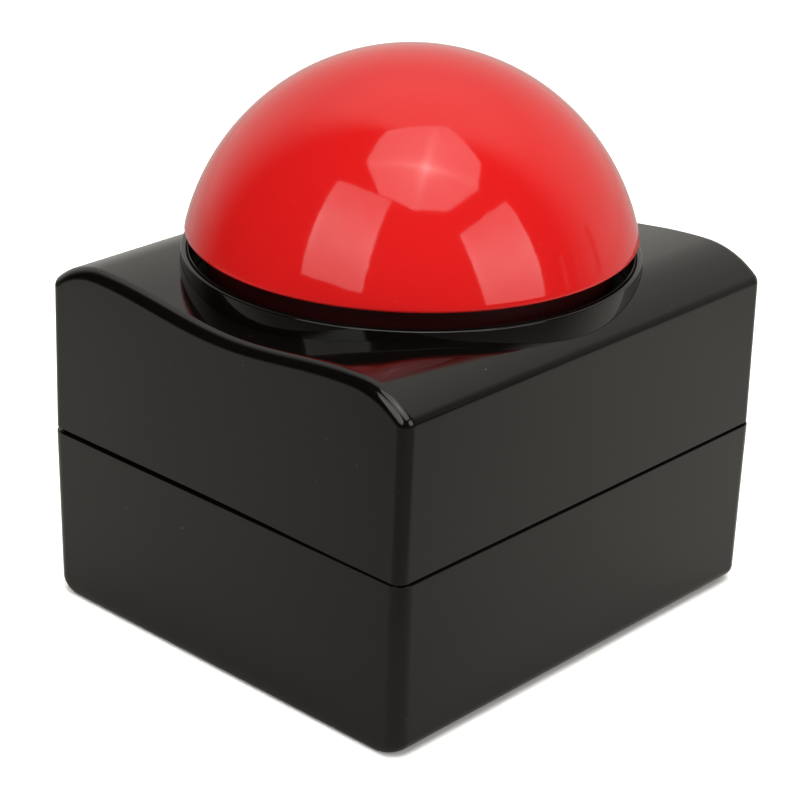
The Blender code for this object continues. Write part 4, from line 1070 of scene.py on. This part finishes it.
def cloth(name, strength, pattern, lit):
    """A lamp's glowing cloth. Mirrors see its folds and hot spot; everything else gets its even light."""
    material = bpy.data.materials.new(name)
    material.use_nodes = True
    shading = Shading(material.node_tree)
    tree = shading.tree
    maths, falling = shading.maths, shading.falling
    place = tree.nodes.new("ShaderNodeTexCoord").outputs["Object"]
    split = tree.nodes.new("ShaderNodeSeparateXYZ")
    tree.links.new(place, split.inputs[0])
    x, y = split.outputs["X"], split.outputs["Y"]
    noise = tree.nodes.new("ShaderNodeTexNoise")
    noise.inputs["Scale"].default_value = 2.6
    noise.inputs["Detail"].default_value = 3.0
    tree.links.new(place, noise.inputs["Vector"])
    wrinkle = maths("MULTIPLY_ADD", noise.outputs["Fac"], 0.5, 0.75)
    far_x = maths("ABSOLUTE", x)
    square_x = maths("MULTIPLY", x, x)
    square_y = maths("MULTIPLY", y, y)
    if pattern == "star":
        ray = maths("ADD", falling(maths("ABSOLUTE", y), 16.0), falling(far_x, 16.0))
        fade = falling(maths("SQRT", maths("ADD", square_x, square_y)), 2.6)
        rays = maths("MULTIPLY", maths("MULTIPLY", ray, fade), 1.6)
        level = maths("ADD", rays, maths("MULTIPLY_ADD", fade, 0.5, 0.93))
    elif pattern == "band":
        edge = falling(maths("SUBTRACT", 0.97, far_x), 9.0)
        band = falling(square_y, 3.0)
        edges = maths("MULTIPLY", maths("MULTIPLY", edge, band), 1.2)
        level = maths("ADD", edges, maths("MULTIPLY_ADD", band, 0.50, 0.78))
    else:
        level = maths("SUBTRACT", 1.0, maths("MULTIPLY", square_x, 0.8))
    seen = maths("MULTIPLY", maths("MULTIPLY", level, wrinkle), strength)
    glossy = shading.path.outputs["Is Glossy Ray"]
    unseen = maths("MULTIPLY", maths("SUBTRACT", 1.0, glossy), lit)
    mixed = maths("ADD", maths("MULTIPLY", seen, glossy), unseen)
    glow = tree.nodes.new("ShaderNodeEmission")
    glow.inputs["Color"].default_value = LAMP_TINT
    tree.links.new(mixed, glow.inputs["Strength"])
    shading.finish(glow.outputs["Emission"], "Material")
    return material


def softbox(name, corners, strength, pattern, lit, turn=0.0):
    """A lamp whose corners lie in the given directions (azimuth, elevation) from the dome."""
    points = [LAMP_HEART + direction(*corner) * LAMP_DISTANCE for corner in corners]
    centre = sum(points, Vector()) / len(points)
    facing = (centre - LAMP_HEART).normalized()
    turned_by = facing.to_track_quat("Z", "Y") @ Matrix.Rotation(math.radians(turn), 3, "Z").to_quaternion()
    local = [turned_by.inverted() @ (point - centre) for point in points]
    half_x = max(abs(point.x) for point in local)
    half_y = max(abs(point.y) for point in local)
    bm = bmesh.new()
    bm.faces.new([bm.verts.new((point.x / half_x, point.y / half_y, 0.0)) for point in local])
    lamp = mesh_object(name, bm)
    lamp.scale = (half_x, half_y, 1.0)
    lamp.rotation_mode = "QUATERNION"
    lamp.rotation_quaternion = turned_by
    lamp.location = centre
    lamp.data.materials.append(cloth(name + "_cloth", strength, pattern, lit))
    lamp.visible_camera = False


def make_lamps():
    octagon = [(-69, 78), (167, 75), (121, 62), (97, 54), (67, 50), (42, 52), (14, 57), (-20, 67)]
    softbox("lamp_octagon", octagon, 2.15, "star", 4.6, 66.0)
    softbox("lamp_left", [(-23, 53), (25, 55), (19, 11), (-13, 12)], 2.1, "band", 3.4)
    softbox("lamp_right", [(71, 38), (110, 44), (110, 1), (79, 4)], 2.15, "band", 3.4)
    for azimuth in (122.0, 131.0, 145.0):
        strip = [(azimuth, 13), (azimuth + 3, 13), (azimuth + 3, -5), (azimuth, -5)]
        softbox(f"strip_{azimuth:.0f}", strip, 0.30, "plain", 0.2)


def make_floor():
    """A white floor: to the camera white but for the contact shadow, in reflections greyer and uneven."""
    bm = bmesh.new()
    bmesh.ops.create_circle(bm, cap_ends=True, segments=64, radius=FLOOR_RADIUS)
    floor = mesh_object("studio_floor", bm)
    material = bpy.data.materials.new("studio_floor")
    material.use_nodes = True
    shading = Shading(material.node_tree)
    tree = shading.tree
    place = tree.nodes.new("ShaderNodeTexCoord").outputs["Object"]
    ahead = shading.along(place, TOWARD_CAMERA)
    dimmed = shading.ramp(ahead, -0.02, 0.15, 1.10, 0.45)
    behind = shading.ramp(ahead, -1.2, -0.2, 1.25, 1.0)
    sideways = shading.ramp(shading.along(place, TOWARD_RIGHT), -0.06, 0.08, 0.97, 1.12)
    length = tree.nodes.new("ShaderNodeVectorMath")
    length.operation = "LENGTH"
    tree.links.new(place, length.inputs[0])
    distance = length.outputs["Value"]
    faded = shading.ramp(distance, 0.20, 0.60, 1.0, 0.10, "SMOOTHSTEP")
    near = shading.maths("MULTIPLY", shading.maths("MULTIPLY", dimmed, behind), sideways)
    level = shading.maths("MULTIPLY", near, faded)
    scaled = tree.nodes.new("ShaderNodeVectorMath")
    scaled.operation = "SCALE"
    scaled.inputs[0].default_value = FLOOR_REFLECTED
    tree.links.new(level, scaled.inputs["Scale"])
    unseen = shading.mix(shading.path.outputs["Is Glossy Ray"], (0.80, 0.80, 0.80, 1.0), scaled.outputs[0])
    matte = tree.nodes.new("ShaderNodeBsdfDiffuse")
    colour = shading.mix(shading.path.outputs["Is Camera Ray"], unseen, (*FLOOR_SEEN, 1.0))
    tree.links.new(colour, matte.inputs["Color"])
    glow = tree.nodes.new("ShaderNodeEmission")
    low_sky = tuple(SKY_LOW * part for part in SKY_TINT[:3])
    paper = shading.mix(shading.path.outputs["Is Camera Ray"], (*low_sky, 1.0), (*PAPER_SEEN, 1.0))
    tree.links.new(paper, glow.inputs["Color"])
    turn = shading.maths("DIVIDE", shading.along(place, SKY_HEART), shading.maths("ADD", distance, MM))
    back = shading.ramp(turn, *SKY_TURN, 0.0, 1.0, "SMOOTHSTEP")
    far_back = shading.maths("MULTIPLY", back, shading.ramp(distance, 0.12, 0.50, 0.0, 1.0))
    reflected = shading.maths("MULTIPLY", far_back, shading.path.outputs["Is Glossy Ray"])
    far_seen = shading.ramp(distance, 0.25, 0.70, 0.0, 1.0)
    seen = shading.maths("MULTIPLY", far_seen, shading.path.outputs["Is Camera Ray"])
    share = shading.maths("ADD", reflected, seen)
    blend = tree.nodes.new("ShaderNodeMixShader")
    tree.links.new(share, blend.inputs[0])
    tree.links.new(matte.outputs[0], blend.inputs[1])
    tree.links.new(glow.outputs[0], blend.inputs[2])
    shading.finish(blend.outputs[0], "Material")
    floor.data.materials.append(material)


def make_sky():
    """Bright behind the object and brighter overhead; plain white where the camera sees it."""
    world = bpy.data.worlds.new("studio_air")
    bpy.context.scene.world = world
    world.use_nodes = True
    shading = Shading(world.node_tree)
    tree = shading.tree
    place = tree.nodes.new("ShaderNodeTexCoord").outputs["Generated"]
    height = shading.along(place, (0.0, 0.0, 1.0))
    squared = shading.maths("MULTIPLY", height, height)
    level_part = shading.maths("SQRT", shading.maths("SUBTRACT", 1.0001, squared))
    turn = shading.maths("DIVIDE", shading.along(place, SKY_HEART), level_part)
    back = shading.ramp(turn, *SKY_TURN, SKY_FRONT, SKY_BACK, "SMOOTHSTEP")
    high = shading.ramp(height, 0.62, 0.90, 1.0, SKY_HIGH, "SMOOTHSTEP")
    right = shading.ramp(shading.along(place, (0.985, -0.17, 0.0)), 0.2, 0.8, 0.0, SKY_RIGHT)
    level = shading.maths("ADD", shading.maths("MULTIPLY", back, high), right)
    seen = tree.nodes.new("ShaderNodeMix")
    seen.inputs["B"].default_value = PAPER_SEEN[0]
    tree.links.new(shading.path.outputs["Is Camera Ray"], seen.inputs["Factor"])
    tree.links.new(level, seen.inputs["A"])
    tint = shading.mix(shading.path.outputs["Is Camera Ray"], SKY_TINT, (1.0, 1.0, 1.0, 1.0))
    sky = tree.nodes.new("ShaderNodeBackground")
    tree.links.new(tint, sky.inputs["Color"])
    tree.links.new(seen.outputs["Result"], sky.inputs["Strength"])
    shading.finish(sky.outputs["Background"], "World")


def make_studio():
    make_floor()
    make_lamps()
    make_sky()
    bpy.context.scene.view_settings.view_transform = "Standard"


dress_frame_nodes()
make_top_shell()
make_base_shell()
make_battery_door()
make_screws()
make_feet()
make_knob()
make_dome()
make_collar()
make_carrier()
make_leds()
make_springs()
make_camera()
make_studio()
